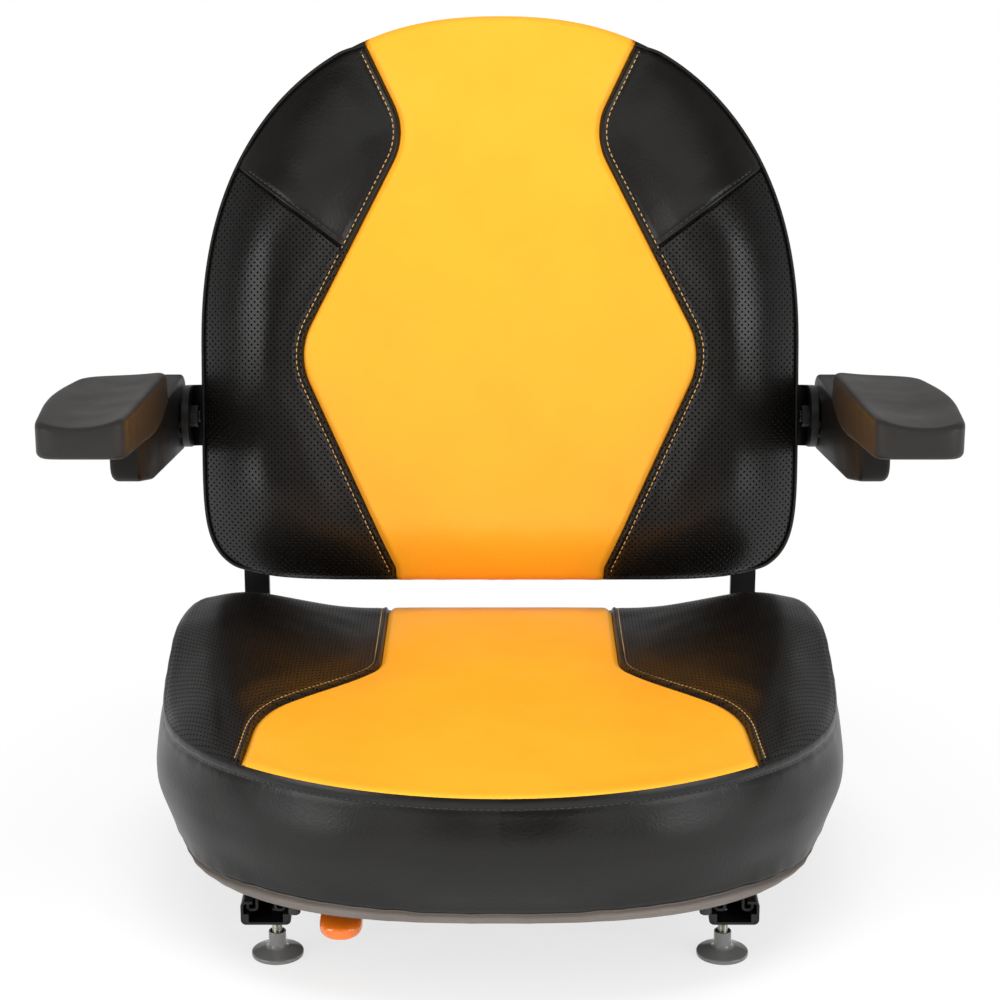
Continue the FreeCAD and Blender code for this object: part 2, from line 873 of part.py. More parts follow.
def pan_nuts(spots, diameter, across_flats):
    pieces = [hex_nut(across_flats, diameter + 2 * slip_fit, vec(x, y, pan_top), vec(0, 0, nut_height))
              for x, y in spots]
    return Part.makeCompound(pieces)


def seat_pan():
    """A flat pressed pan with ribs pressed down between the rails."""
    face = flat_face(cushion_ring(-hem_inset - hem_wall - pan_gap, hem_power, level(pan_height)))
    pan = face.extrude(vec(0, 0, pan_sheet))
    for k in (-1, 0, 1):
        half = rib_width / 2
        end = rib_length / 2
        outer = [(-half, -end, half), (half, -end, half), (half, end, half), (-half, end, half)]
        pan = pan.fuse(prism(outer, on_floor, vec(k * rib_spacing, rib_y, pan_height - rib_depth),
                             vec(0, 0, rib_depth)))
        half = half - pan_sheet
        end = end - pan_sheet
        inner = [(-half, -end, half), (half, -end, half), (half, end, half), (-half, end, half)]
        pan = pan.cut(prism(inner, on_floor, vec(k * rib_spacing, rib_y, pan_top - rib_depth),
                            vec(0, 0, rib_depth + 1)))
    holes = [(x, y, rail_bolt_diameter) for x, y in rail_bolt_spots()]
    holes += [(x, y, upright_bolt_diameter) for x, y in upright_bolt_spots()]
    holes += [(side * bumper_x, bumper_y, bumper_stem_diameter) for side in SIDES.values()]
    holes += [(latch_x, latch_y, latch_pin_diameter)]
    for x, y, diameter in holes:
        pan = pan.cut(rod(diameter + 2 * slip_fit, vec(x, y, pan_height - 1), vec(0, 0, pan_sheet + 2)))
    return pan.removeSplitter()


def pan_bumpers():
    pieces = []
    for side in SIDES.values():
        spot = vec(side * bumper_x, bumper_y, pan_height)
        pieces.append(screw(bumper_stem_diameter, bumper_diameter, bumper_length, spot,
                            vec(0, 0, 1), pan_sheet))
    return Part.makeCompound(pieces)


def seat_cushion(form, panel):
    """The cushion without its centre panel, hollowed over the nuts on the pan."""
    cushion = form.cut(panel)
    for x, y in rail_bolt_spots() + upright_bolt_spots():
        width = upright_bolt_head_diameter + 2 * nut_room
        depth = nut_height + bolt_end + nut_room
        cushion = cushion.cut(rod(width, vec(x, y, pan_top - 1), vec(0, 0, depth + 1)))
    return cushion


def upright():
    """The left bar: a leg under the pan, bent up behind the cushion and back into the backrest."""
    ahead = -board_sheet - upright_sheet / 2
    knee_y, knee_z = back_point(0, ahead)
    leg_z = pan_height - upright_sheet / 2
    path = [(upright_foot_y, leg_z), (knee_y, leg_z), (knee_y, knee_z), back_point(upright_reach, ahead)]
    bar = prism(folded_strip(path, upright_sheet, upright_bend), sideways,
                vec(upright_x - upright_width / 2, 0, 0), vec(upright_width, 0, 0))
    hole = upright_bolt_diameter + 2 * slip_fit
    for y in upright_bolt_ys:
        bar = bar.cut(rod(hole, vec(upright_x, y, leg_z - upright_sheet), vec(0, 0, 2 * upright_sheet)))
    for x, y in back_bolt_spots() + bracket_bolt_spots():
        bar = bar.cut(reclined(rod(hole, vec(x, y, ahead - upright_sheet), vec(0, 0, 2 * upright_sheet))))
    return bar


# Armrests, drawn on the sitter's left

def pivot_spot(x):
    y, z = back_point(pivot_height, pivot_ahead)
    return vec(x, y, z)


def arm_bracket():
    """A folded plate: a leg bolted behind the upright and an ear that carries the pivot."""
    leg = -board_sheet - upright_sheet - bracket_sheet / 2
    ear = bracket_ear_face - bracket_sheet / 2
    nose = pivot_ahead + bracket_height / 2
    path = [(upright_x - upright_width / 2, leg), (ear, leg), (ear, nose)]
    plate = prism(folded_strip(path, bracket_sheet, bracket_bend), across,
                  vec(0, pivot_height - bracket_height / 2, 0), vec(0, bracket_height, 0))
    half = bracket_height / 2
    tip = [(pivot_height - half, leg - 20, 0), (pivot_height + half, leg - 20, 0),
           (pivot_height + half, nose, half - 0.01), (pivot_height - half, nose, half - 0.01)]
    plate = plate.common(prism(tip, sideways, vec(0, 0, 0), vec(bracket_ear_face + 10, 0, 0)))
    hole = upright_bolt_diameter + 2 * slip_fit
    for x, y in bracket_bolt_spots():
        plate = plate.cut(rod(hole, vec(x, y, leg - bracket_sheet), vec(0, 0, 2 * bracket_sheet)))
    plate = reclined(plate)
    plate = plate.cut(rod(2 * pivot_hole, pivot_spot(ear - bracket_sheet), vec(2 * bracket_sheet, 0, 0)))
    stop = arm_stop_diameter + 2 * slip_fit
    return plate.cut(rod(stop, arm_stop_spot(ear - bracket_sheet), vec(2 * bracket_sheet, 0, 0)))


def arm_stop_spot(x):
    angle = math.radians(arm_stop_angle)
    return pivot_spot(x) + vec(0, math.cos(angle), math.sin(angle)) * arm_stop_radius


def arm_stop_pin():
    ear_back = bracket_ear_face - bracket_sheet
    length = bracket_sheet + (arm_inner_x - bracket_ear_face) + arm_stop_depth - 2
    return rod(arm_stop_diameter, arm_stop_spot(ear_back), vec(length, 0, 0))


def pivot_bolt():
    """A shoulder bolt from the outside of the arm, held by a nut behind the ear."""
    head_seat = arm_outer_x - arm_head_recess + running_gap
    length = head_seat - (bracket_ear_face - bracket_sheet) + nut_height + bolt_end
    return screw(pivot_diameter, pivot_head_diameter, pivot_head_height, pivot_spot(head_seat),
                 vec(-1, 0, 0), length)


def pivot_nut():
    ear_back = bracket_ear_face - bracket_sheet
    return hex_nut(pivot_head_diameter - 1, pivot_diameter + 2 * slip_fit, pivot_spot(ear_back - nut_height),
                   vec(nut_height, 0, 0))


def pad_bottom(y):
    return pad_front_z - pad_slope * (y - pad_front_y)


def arm_support(pad):
    """The moulded arm: a deep web that tapers to the front, round at its pivot."""
    pivot = pivot_spot(0)
    tail = pivot.y + arm_tail_radius
    low = pivot.z - arm_tail_radius
    high = pivot.z + arm_tail_radius
    nose = arm_nose_y
    outline = [
        (nose, pad_bottom(nose), 5), (nose, pad_bottom(nose) - arm_nose_depth, 14),
        (arm_keel_y, pad_bottom(nose) - arm_keel_depth, 60), (tail, low, arm_tail_corner),
        (tail, high, arm_tail_corner), (arm_heel_y, pad_bottom(arm_heel_y), 150),
    ]
    arm = prism(outline, sideways, vec(arm_inner_x, 0, 0), vec(arm_width, 0, 0))
    rims = [e for e in arm.Edges if e.BoundBox.XLength < arm_width / 2]
    arm = arm.makeFillet(arm_edge_round, rims)
    bore = pivot_diameter + 2 * bush_wall
    arm = arm.cut(rod(bore, pivot_spot(arm_inner_x - 1), vec(arm_width + 2, 0, 0)))
    recess = pivot_head_diameter + 2 * head_room
    arm = arm.cut(rod(recess, pivot_spot(arm_outer_x - arm_head_recess), vec(arm_head_recess + 1, 0, 0)))
    arm = arm.cut(arm_stop_groove()).cut(arm_pocket()).cut(pad)
    for y in pad_screw_ys:
        seat = pad_bottom(y) - pad_screw_grip
        hole = pad_screw_diameter + 2 * slip_fit
        arm = arm.cut(rod(hole, vec(pad_screw_x, y, seat - 1), vec(0, 0, pad_screw_grip + 10)))
        arm = arm.cut(rod(pad_screw_head_diameter + head_room, vec(pad_screw_x, y, seat), vec(0, 0, -100)))
    return arm


def arm_pocket():
    """The hollow in the arm's inner side, which leaves a web and a flange under the pad."""
    rear = pivot_spot(0).y - 2 * arm_tail_radius
    front = arm_nose_y - 2 * arm_web
    low = pivot_spot(0).z - 2 * arm_tail_radius
    profile = [(front, low, 0), (rear, low, 0), (rear, pad_bottom(rear) - arm_flange, 12),
               (front, pad_bottom(front) - arm_flange, 0)]
    return prism(profile, sideways, vec(arm_inner_x - 1, 0, 0), vec(arm_width - arm_web + 1, 0, 0))


def arm_stop_groove():
    """The curved groove that runs over the stop pin as the arm swings."""
    half = arm_stop_diameter / 2 + running_gap
    slack = math.degrees(half / arm_stop_radius)
    depth = arm_stop_depth + 1
    start = pivot_spot(arm_inner_x - 1)
    sweep = arm_swing + 2 * slack
    outer = Part.makeCylinder(arm_stop_radius + half, depth, vec(0, 0, 0), vec(0, 0, 1), sweep)
    inner = Part.makeCylinder(arm_stop_radius - half, depth, vec(0, 0, 0), vec(0, 0, 1), 360)
    groove = outer.cut(inner)
    # Turn the groove from the floor plane into the side plane: its x to +Y, its y to +Z.
    turn = FreeCAD.Rotation(vec(0, 1, 0), vec(0, 0, 1), vec(1, 0, 0))
    spin = FreeCAD.Rotation(vec(0, 0, 1), arm_stop_angle - slack)
    groove.Placement = FreeCAD.Placement(start, turn.multiply(spin))
    return groove


def pivot_bush():
    """A flanged bush pressed in the arm, its flange between arm and ear."""
    bore = pivot_diameter + 2 * slip_fit
    length = arm_width - arm_head_recess
    bush = rod(pivot_diameter + 2 * bush_wall - bush_press, pivot_spot(arm_inner_x), vec(length, 0, 0))
    flange = rod(bush_flange_diameter, pivot_spot(arm_inner_x - bush_flange), vec(bush_flange, 0, 0))
    bush = bush.fuse(flange)
    return bush.cut(rod(bore, pivot_spot(arm_inner_x - 5), vec(length + 10, 0, 0)))


def arm_pad():
    """The moulded pad: dished along its top, rounder at its outer rear, deepest over the arm."""
    width = pad_outer_x - pad_inner_x
    length = pad_rear_y - pad_front_y
    plan = [
        (pad_inner_x, pad_front_y, 9), (pad_outer_x - pad_front_narrowing, pad_front_y, 13),
        (pad_outer_x, pad_front_y + length / 2, 250), (pad_outer_x - pad_rear_narrowing, pad_rear_y, 30),
        (pad_inner_x, pad_rear_y, 10),
    ]
    deepest = pad_bottom(pad_belly_y) - pad_belly
    side = [
        (pad_front_y, pad_bottom(pad_front_y), 3), (pad_belly_y, deepest, 120),
        (pad_rear_y, pad_bottom(pad_rear_y) + pad_tail_rise, 12),
        (pad_rear_y, pad_bottom(pad_rear_y) + pad_thickness, 4),
        (pad_front_y, pad_bottom(pad_front_y) + pad_thickness, 4),
    ]
    pad = prism(plan, on_floor, vec(0, 0, deepest), vec(0, 0, 3 * pad_thickness))
    pad = pad.common(prism(side, sideways, vec(pad_inner_x - 1, 0, 0), vec(width + 2, 0, 0)))
    tilt = FreeCAD.Rotation(vec(1, 0, 0), -math.degrees(math.atan(pad_slope)))
    frame = FreeCAD.Placement(vec(0, pad_front_y, pad_front_z), tilt)
    half = width / 2
    sweep = (half * half + pad_dish_depth * pad_dish_depth) / (2 * pad_dish_depth)
    axis = vec(pad_inner_x + half, -length / 2, pad_thickness - pad_dish_depth + sweep)
    pad = pad.cut(placed(Part.makeCylinder(sweep, 2 * length, axis, vec(0, 1, 0)), frame))
    for y in pad_screw_ys:
        hole = pad_screw_diameter + 2 * slip_fit
        depth = pad_bottom(y) + pad_screw_bite - (deepest - 1)
        pad = pad.cut(rod(hole, vec(pad_screw_x, y, deepest - 1), vec(0, 0, depth)))
    return pad


def pad_screws():
    pieces = []
    for y in pad_screw_ys:
        seat = vec(pad_screw_x, y, pad_bottom(y) - pad_screw_grip)
        pieces.append(screw(pad_screw_diameter, pad_screw_head_diameter, pad_screw_head_height, seat,
                            vec(0, 0, 1), pad_screw_grip + pad_screw_bite - 1))
    return Part.makeCompound(pieces)


# Latch, on the sitter's right

def latch_lever():
    """A joggled flat lever with an eye at the rear and a tooth folded down beside the rail."""
    eye = latch_eye_radius
    wall = rail_x - lower_rail_width / 2
    tooth_face = -(wall - tooth_gap) - latch_x
    shift = grip_x - latch_x
    bar = 0.24 * grip_width
    plan = [
        (-eye, eye, eye - 0.01), (eye, eye, eye - 0.01), (eye, -0.3 * latch_reach, 30),
        (shift + bar, -0.7 * latch_reach, 30), (shift + bar, -latch_reach, 3),
        (shift - bar, -latch_reach, 3), (shift - bar, -0.7 * latch_reach, 30),
        (-eye + 4, -tooth_ahead - tooth_width, 3), (tooth_face, -tooth_ahead - tooth_width, 0.5),
        (tooth_face, -tooth_ahead + tooth_width, 0.5), (-eye, -tooth_ahead + tooth_width, 2),
    ]
    pivot = vec(latch_x, latch_y, 0)
    blank = prism(plan, on_floor, pivot, vec(0, 0, pan_height))
    middle = latch_height + latch_sheet / 2
    bend_y = latch_y - latch_joggle_start
    foot_y = bend_y - latch_joggle_length
    path = [(latch_y + 2 * eye, middle), (bend_y, middle), (foot_y, middle - latch_drop),
            (latch_y - 1.1 * latch_reach, middle - latch_drop)]
    strip = folded_strip(path, latch_sheet, latch_bend)
    band = prism(strip, sideways, vec(latch_x - latch_reach, 0, 0), vec(2 * latch_reach, 0, 0))
    lever = blank.common(band)
    half = tooth_width / 2
    tooth = box_between(vec(tooth_face, -tooth_ahead - half, latch_height - tooth_depth),
                        vec(tooth_face + tooth_sheet, -tooth_ahead + half, latch_height + latch_sheet))
    lever = lever.fuse(tooth.translated(pivot)).removeSplitter()
    hole = latch_pin_diameter + 2 * slip_fit
    return lever.cut(rod(hole, pivot, vec(0, 0, pan_height)))


def latch_grip(lever):
    """The moulded grip: a rounded tongue that droops at its tip, slotted over the lever."""
    half = grip_width / 2
    rear = grip_tip_y + grip_length
    nose = grip_tip_y - grip_nose_trim
    plan = [(grip_x - half, nose, grip_nose_round), (grip_x + half, nose, grip_nose_round),
            (grip_x + half - 3, rear, 6), (grip_x - half + 3, rear, 6)]
    middle = latch_height + latch_sheet / 2 - latch_drop
    top = middle + grip_height / 2
    low = middle - grip_height / 2
    side = [(grip_tip_y, low - grip_lip, 4), (grip_tip_y, top - grip_lip, 5),
            (grip_tip_y + 0.4 * grip_length, top, 14), (rear, top, 3), (rear, low, 3),
            (grip_tip_y + 0.45 * grip_length, low, 14)]
    tongue = prism(plan, on_floor, vec(0, 0, 0), vec(0, 0, pan_height))
    tongue = tongue.common(prism(side, sideways, vec(grip_x - half - 5, 0, 0), vec(grip_width + 10, 0, 0)))
    return tongue.cut(lever)


def latch_pivot_pin():
    """A headed pin that hangs from the pan and carries the lever."""
    seat = vec(latch_x, latch_y, latch_height - running_gap)
    return screw(latch_pin_diameter, latch_pin_head_diameter, latch_pin_head_height, seat, vec(0, 0, 1),
                 pan_top - seat.z)


def latch_spring():
    """A coiled spring on the pin, between lever and pan."""
    radius = latch_pin_diameter / 2 + spring_wire + spring_gap
    low = latch_height + latch_sheet + running_gap + spring_wire / 2
    high = pan_height - running_gap - spring_wire / 2
    helix = Part.makeHelix((high - low) / spring_turns, high - low, radius)
    section = Part.Wire(Part.makeCircle(spring_wire / 2, vec(radius, 0, 0), vec(0, 1, 0)))
    coil = Part.Wire(helix.Edges).makePipeShell([section], True, True)
    return coil.translated(vec(latch_x, latch_y, low))


# Assembly

def export(name, shape):
    shape.exportStep("parts/" + name + ".step")


def export_base():
    for side_name, side in SIDES.items():
        export(side_name + "_lower_rail", lower_rail(side))
        export(side_name + "_glide_strips", glide_strips(side))
        for end_name, end in ENDS.items():
            spot = foot(side * stud_spread / 2, end * stud_wheelbase / 2)
            export(end_name + "_" + side_name + "_foot", spot)
    export("mounting_studs", mounting_studs())
    export("travel_stops", travel_stops())


def export_seat():
    form = cushion_form()
    panel = seat_panel(form)
    export("seat_center_panel", panel)
    export("seat_cushion", seat_cushion(form, panel))
    export("seat_pan", seat_pan())
    export("pan_bumpers", pan_bumpers())
    export("rail_bolts", pan_fasteners(rail_bolt_spots(), rail_bolt_diameter, rail_bolt_head_diameter,
                                       rail_bolt_head_height, pan_height - rail_sheet))
    export("rail_nuts", pan_nuts(rail_bolt_spots(), rail_bolt_diameter, rail_bolt_head_diameter))
    export("upright_bolts", pan_fasteners(upright_bolt_spots(), upright_bolt_diameter,
                                          upright_bolt_head_diameter, upright_bolt_head_height,
                                          pan_height - upright_sheet))
    export("upright_nuts", pan_nuts(upright_bolt_spots(), upright_bolt_diameter,
                                    upright_bolt_head_diameter - 1))
    bar = upright()
    for side_name, side in SIDES.items():
        export(side_name + "_upper_rail", upper_rail(side))
        export(side_name + "_upright", on_side(bar, side))


def export_back():
    form = back_form()
    panel = back_panel(form)
    cushion = form.cut(panel)
    for pocket in bolt_pockets(back_bolt_spots() + bracket_bolt_spots(), nut_height + bolt_end + nut_room):
        cushion = cushion.cut(pocket)
    export("back_center_panel", reclined(panel))
    export("back_cushion", reclined(cushion))
    export("back_board", reclined(back_board()))
    export("back_shell", reclined(back_shell()))
    export("shell_screws", reclined(shell_screws()))
    bar_back = -board_sheet - upright_sheet
    bracket_back = bar_back - bracket_sheet
    export("back_bolts", reclined(back_fasteners(back_bolt_spots(), bar_back, False)))
    export("bracket_bolts", reclined(back_fasteners(bracket_bolt_spots(), bracket_back, False)))
    export("back_nuts", reclined(back_fasteners(back_bolt_spots() + bracket_bolt_spots(), 0, True)))


def export_arms():
    pad = arm_pad()
    pieces = {"arm_bracket": arm_bracket(), "pivot_bolt": pivot_bolt(), "arm_support": arm_support(pad),
              "arm_pad": pad, "pivot_bush": pivot_bush(), "pad_screws": pad_screws()}
    for name, shape in pieces.items():
        for side_name, side in SIDES.items():
            export(side_name + "_" + name, on_side(shape, side))
    for name, shape in {"pivot_nuts": pivot_nut(), "arm_stop_pins": arm_stop_pin()}.items():
        export(name, Part.makeCompound([on_side(shape, side) for side in SIDES.values()]))


def export_latch():
    lever = latch_lever()
    export("latch_lever", lever)
    export("latch_grip", latch_grip(lever))
    export("latch_pivot_pin", latch_pivot_pin())
    export("latch_spring", latch_spring())


os.makedirs("parts", exist_ok=True)
export_base()
export_seat()
export_back()
export_arms()
export_latch()
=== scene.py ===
import bmesh
import bpy
import json
import math
from mathutils import Matrix, Vector, kdtree, noise


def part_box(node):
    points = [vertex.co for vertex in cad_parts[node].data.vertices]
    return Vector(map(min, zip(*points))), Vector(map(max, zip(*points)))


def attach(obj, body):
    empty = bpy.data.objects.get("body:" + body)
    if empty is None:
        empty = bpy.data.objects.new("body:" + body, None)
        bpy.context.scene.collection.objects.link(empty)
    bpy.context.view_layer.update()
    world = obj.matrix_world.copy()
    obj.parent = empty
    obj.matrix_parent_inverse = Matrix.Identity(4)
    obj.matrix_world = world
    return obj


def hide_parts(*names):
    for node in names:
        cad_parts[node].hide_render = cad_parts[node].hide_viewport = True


# Looks of the ride-on mower seat: sewn covers with seams, stitches and perforations, moulded
# armrest pads and arms, a moulded grip, threaded studs, materials, floor, lights and camera. Metres.

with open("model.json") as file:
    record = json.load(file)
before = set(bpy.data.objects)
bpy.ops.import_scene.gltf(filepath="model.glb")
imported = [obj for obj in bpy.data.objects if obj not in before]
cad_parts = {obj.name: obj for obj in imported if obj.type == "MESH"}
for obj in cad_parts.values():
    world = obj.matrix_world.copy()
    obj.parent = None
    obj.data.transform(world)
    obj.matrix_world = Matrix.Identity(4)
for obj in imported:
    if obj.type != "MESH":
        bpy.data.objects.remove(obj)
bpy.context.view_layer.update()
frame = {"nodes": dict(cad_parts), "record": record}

SIDES = {"left": 1, "right": -1}

# Materials of a cover, in the order of its slots
PLAIN, HOLES, BAND, YELLOW, HEM = range(5)
# The hem's material is black vinyl lightened as a painted reflection of the white floor.
COVER_MATERIALS = ("black_plain", "black_holes", "black_plain", "yellow_vinyl", "hem_tape")

# Seat cushion: the forms of the solids, with a sewn edge that climbs to the hips and a fuller side band
CUSHION_MIDDLE = -0.005
CUSHION_HALF_WIDTH = 0.2685
CUSHION_FRONT = 0.253
CUSHION_REAR = 0.215
CUSHION_FRONT_POWER = 2.08
CUSHION_REAR_POWER = 4.0
PAN_HEIGHT = 0.0765
PAN_TOP = 0.0795
PAN_GAP = 0.0002
HEM_BOTTOM = 0.0715
HEM_POWER = 2.68
HEM_INSET = 0.014
HEM_WALL = 0.006
HEM_SIDE_SHARE = 0.25
CREASE_LEVEL = 0.0805
CREASE_POWER = 2.45
CREASE_INSET = 0.008
CREASE_DEPTH = 0.0036
FRONT_BULGE = 0.0055
SIDE_BULGE = 0.006
BULGE_RISE = 0.042
BULGE_FALL = (0.048, 0.092)
EDGE_SWELL = 0.0011
HEM_SWELL = 0.0012
BELLY_LEVEL = 0.1215
BELLY_POWER = 2.12
BELLY_INSET = 0.001
SHOULDER_LEVEL = 0.1625
SEAM_TOP_LEVEL = 0.2105
FRONT_SEAM_HEIGHT = 0.101
SIDE_SEAM_DROP = 0.015
SIDE_DROP_LEAD = 0.020
HIP_SEAM_RISE = 0.032
HIP_FRONT = -0.070
HIP_REAR = 0.070
REAR_SEAM_DROP = 0.036
REAR_FADE = 0.090
CROWN_FRONT = 0.098
CROWN_FALL = 0.012
BOLSTER_RISE = 0.034
BOLSTER_START = 0.105
BOLSTER_CREST = 0.240
BOLSTER_REAR_LOSS = 0.3
BOLSTER_REAR_FADE = 0.080
CUSHION_ROLL_START = 0.8

# Backrest
RECLINE = math.radians(12.0)
BACK_FOOT_Y = 0.215
BACK_FOOT_Z = 0.1965
BACK_LENGTH = 0.4785
BACK_HALF_WIDTH = 0.259
BACK_WIDEST = 0.190
BACK_LOWER_REACH = 0.201
BACK_UPPER_POWER = 2.3
BACK_LOWER_POWER = 8.0
BACK_DEPTH = 0.050
BACK_TOP_THINNING = 0.014
BACK_THINNING_START = 0.289
BACK_BOLSTER_RISE = 0.017
BACK_BOLSTER_START = 0.100
BACK_BOLSTER_CREST = 0.208
BACK_BOLSTER_TOP_LOSS = 0.8
BACK_BOLSTER_FOOT_LOSS = 0.4
BACK_FOOT_FADE = 0.080
BACK_EDGE_DEPTH = 0.026
BACK_ROLL_START = 0.72

# Sewing
SEAM_DEPTH = 0.0034
SEAM_WIDTH = 0.0030
EDGE_SEAM_DEPTH = 0.0022
WELT_WIDTH = 0.0062
WELT_RISE = 0.0007
STITCH_PITCH = 0.0052
STITCH_LENGTH = 0.0040
STITCH_RADIUS = 0.00048
STITCH_SINK = 0.0010
STITCH_SINK_WIDTH = 0.0014
BOXING_STITCH_DROP = 0.0085
BOXING_STITCH_SINK = 0.0014
CROSS_FOLD = 0.0016
CROSS_SEAM_DEPTH = 0.0030
CROSS_SEAM_WIDTH = 0.0010
CROSS_STITCH_SHIFT = 0.0045
CROSS_STITCH_SINK = 0.0009
PUFF = 0.0022
CENTER_PUFF_WIDTH = 0.022
CENTER_PUFF_EDGE = 0.03
SIDE_PUFF_WIDTH = 0.035
SIDE_PUFF_EDGE = 0.02
PANEL_SHEET = 0.0030
PANEL_BED_DEPTH = 1.6 * PANEL_SHEET

# Small waves of the covers: heights, with the waves in a metre
UNEVENNESS = [(0.0011, 11, 0), (0.00045, 34, 7)]
UNEVEN_MARGIN = 0.03
BAND_SWELL, BAND_SWELL_ALONG, BAND_SWELL_DOWN = 0.0022, 8, 26
BAND_PUCKER, BAND_PUCKER_ALONG, BAND_PUCKER_DOWN = 0.0006, 60, 40
HEM_PUCKER, HEM_PUCKER_ALONG = 0.0010, 34
CREASE_WAVES = [(0.0014, 5, 1), (0.0007, 21, 2)]
BACK_PUCKER, BACK_PUCKER_ALONG = 0.0009, 26


def smooth_step(low, high, value):
    share = min(1.0, max(0.0, (value - low) / (high - low)))
    return share * share * (3 - 2 * share)


def bump_at(distance, width):
    """A rounded bump of height 1 that fades out over width."""
    return math.exp(-(distance / width) ** 2)


def outline_radius(angle, half_width, front, rear, front_power, rear_power):
    """Polar radius of a rounded outline that is narrower or squarer at either end."""
    reach, power = (rear, rear_power) if math.sin(angle) > 0 else (front, front_power)
    wide = abs(math.cos(angle)) / half_width
    long = abs(math.sin(angle)) / reach
    return (wide ** power + long ** power) ** (-1 / power)


def edge_roll(share, start):
    """How far a cover has turned to its sewn edge: 0 inside start, 1 at the edge."""
    return max(0.0, (min(share, 1.1) - start) / (1 - start)) ** 2


def through_knots(knots, level):
    """Values of a smooth curve through (level, value, ...) knots, which rise in level."""
    k = 0
    while k < len(knots) - 2 and level > knots[k + 1][0]:
        k += 1
    here, there = knots[k], knots[k + 1]
    before = knots[max(k - 1, 0)]
    after = knots[min(k + 2, len(knots) - 1)]
    span = there[0] - here[0]
    t = (level - here[0]) / span
    values = []
    for i in range(1, len(here)):
        slope_here = (there[i] - before[i]) / max(there[0] - before[0], 1e-9) * span
        slope_there = (after[i] - here[i]) / max(after[0] - here[0], 1e-9) * span
        values.append((2 * t ** 3 - 3 * t ** 2 + 1) * here[i] + (t ** 3 - 2 * t ** 2 + t) * slope_here
                      + (3 * t ** 2 - 2 * t ** 3) * there[i] + (t ** 3 - t ** 2) * slope_there)
    return values


# Paths in a plane

def rounded_path(corners, step, closed=False):
    """Points along straight runs through (u, v, radius) corners, each corner rounded by an arc."""
    points = []
    count = len(corners)
    for i, (u, v, radius) in enumerate(corners):
        corner = Vector((u, v))
        if not closed and i in (0, count - 1) or radius == 0:
            points.append(corner)
            continue
        back = (Vector(corners[i - 1][:2]) - corner).normalized()
        ahead = (Vector(corners[(i + 1) % count][:2]) - corner).normalized()
        half = back.angle(ahead) / 2
        tangent = radius / math.tan(half)
        centre = corner + (back + ahead).normalized() * (radius / math.sin(half))
        start = corner + back * tangent - centre
        sweep = start.angle_signed(corner + ahead * tangent - centre)
        turns = max(2, round(abs(sweep) * radius / step))
        for k in range(turns + 1):
            points.append(centre + Matrix.Rotation(-sweep * k / turns, 2) @ start)
    if closed:
        points.append(points[0].copy())
    return points


def resample(points, count):
    """count + 1 points spaced evenly along a line of points."""
    travel = [0.0]
    for here, there in zip(points, points[1:]):
        travel.append(travel[-1] + (there - here).length)
    chosen = []
    k = 0
    for i in range(count + 1):
        goal = travel[-1] * i / count
        while k < len(points) - 2 and travel[k + 1] < goal:
            k += 1
        span = max(travel[k + 1] - travel[k], 1e-12)
        chosen.append(points[k].lerp(points[k + 1], (goal - travel[k]) / span))
    return chosen


SEAM_SAMPLES = 4000
PATH_SAMPLES = 3000
SIDE_SAMPLES = 2400
SEAM_ARC_STEP = 0.0004
CROWDING = 1.7


def split_sample(points, cut, counts):
    """Points along a line, in both directions closer together towards its index cut."""
    before = resample(points[cut::-1], SEAM_SAMPLES)
    after = resample(points[cut:], SEAM_SAMPLES)
    first = [before[round(SEAM_SAMPLES * (i / counts[0]) ** CROWDING)] for i in range(counts[0], -1, -1)]
    return first + [after[round(SEAM_SAMPLES * (i / counts[1]) ** CROWDING)] for i in range(1, counts[1] + 1)]


def nearest_index(points, target):
    return min(range(len(points)), key=lambda i: (points[i] - target).length_squared)


def tree_of(points):
    tree = kdtree.KDTree(len(points))
    for i, p in enumerate(points):
        tree.insert((p.x, p.y, 0), i)
    tree.balance()
    return tree


def narrowed(near, far, is_near):
    """The last value between near and far of which is_near is true."""
    for _ in range(40):
        middle = (near + far) / 2
        if is_near(middle):
            near = middle
        else:
            far = middle
    return near


def crowded_ends(count, evenness=0.35):
    """Shares from 0 to 1 whose steps are finer near both ends."""
    shares = []
    for i in range(count + 1):
        even = i / count
        shares.append(evenness * even + (1 - evenness) * (0.5 - 0.5 * math.cos(math.pi * even)))
    return shares


# Meshes

class Sheet:
    """Grids of points joined into one mesh, with pattern coordinates and materials."""

    def __init__(self):
        self.mesh = bmesh.new()
        self.pattern = self.mesh.loops.layers.uv.new("pattern")

    def grid(self, rows, slot_of=None):
        """Faces between rows of (point, pattern coordinates), with the first material or one by place."""
        made = [[(self.mesh.verts.new(p), uv) for p, uv in row] for row in rows]
        for j in range(len(made) - 1):
            for i in range(len(made[j]) - 1):
                corners = [made[j][i], made[j][i + 1], made[j + 1][i + 1], made[j + 1][i]]
                face = self.mesh.faces.new([c[0] for c in corners])
                face.smooth = True
                face.material_index = slot_of(j, i) if slot_of else PLAIN
                for loop, corner in zip(face.loops, corners):
                    loop[self.pattern].uv = corner[1]

    def piece(self, name, materials, weld=2e-6):
        bmesh.ops.remove_doubles(self.mesh, verts=self.mesh.verts, dist=weld)
        bmesh.ops.dissolve_degenerate(self.mesh, edges=self.mesh.edges, dist=weld)
        bmesh.ops.recalc_face_normals(self.mesh, faces=self.mesh.faces)
        data = bpy.data.meshes.new(name)
        self.mesh.to_mesh(data)
        self.mesh.free()
        for material in materials:
            data.materials.append(material)
        return placed(name, data)


def placed(name, data):
    """A new object in the scene."""
    thing = bpy.data.objects.new(name, data)
    bpy.context.scene.collection.objects.link(thing)
    return thing


def ride_for(piece, body, nodes=()):
    """Put a piece on its body and hide the nodes that it stands for."""
    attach(piece, body)
    if nodes:
        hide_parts(*nodes)


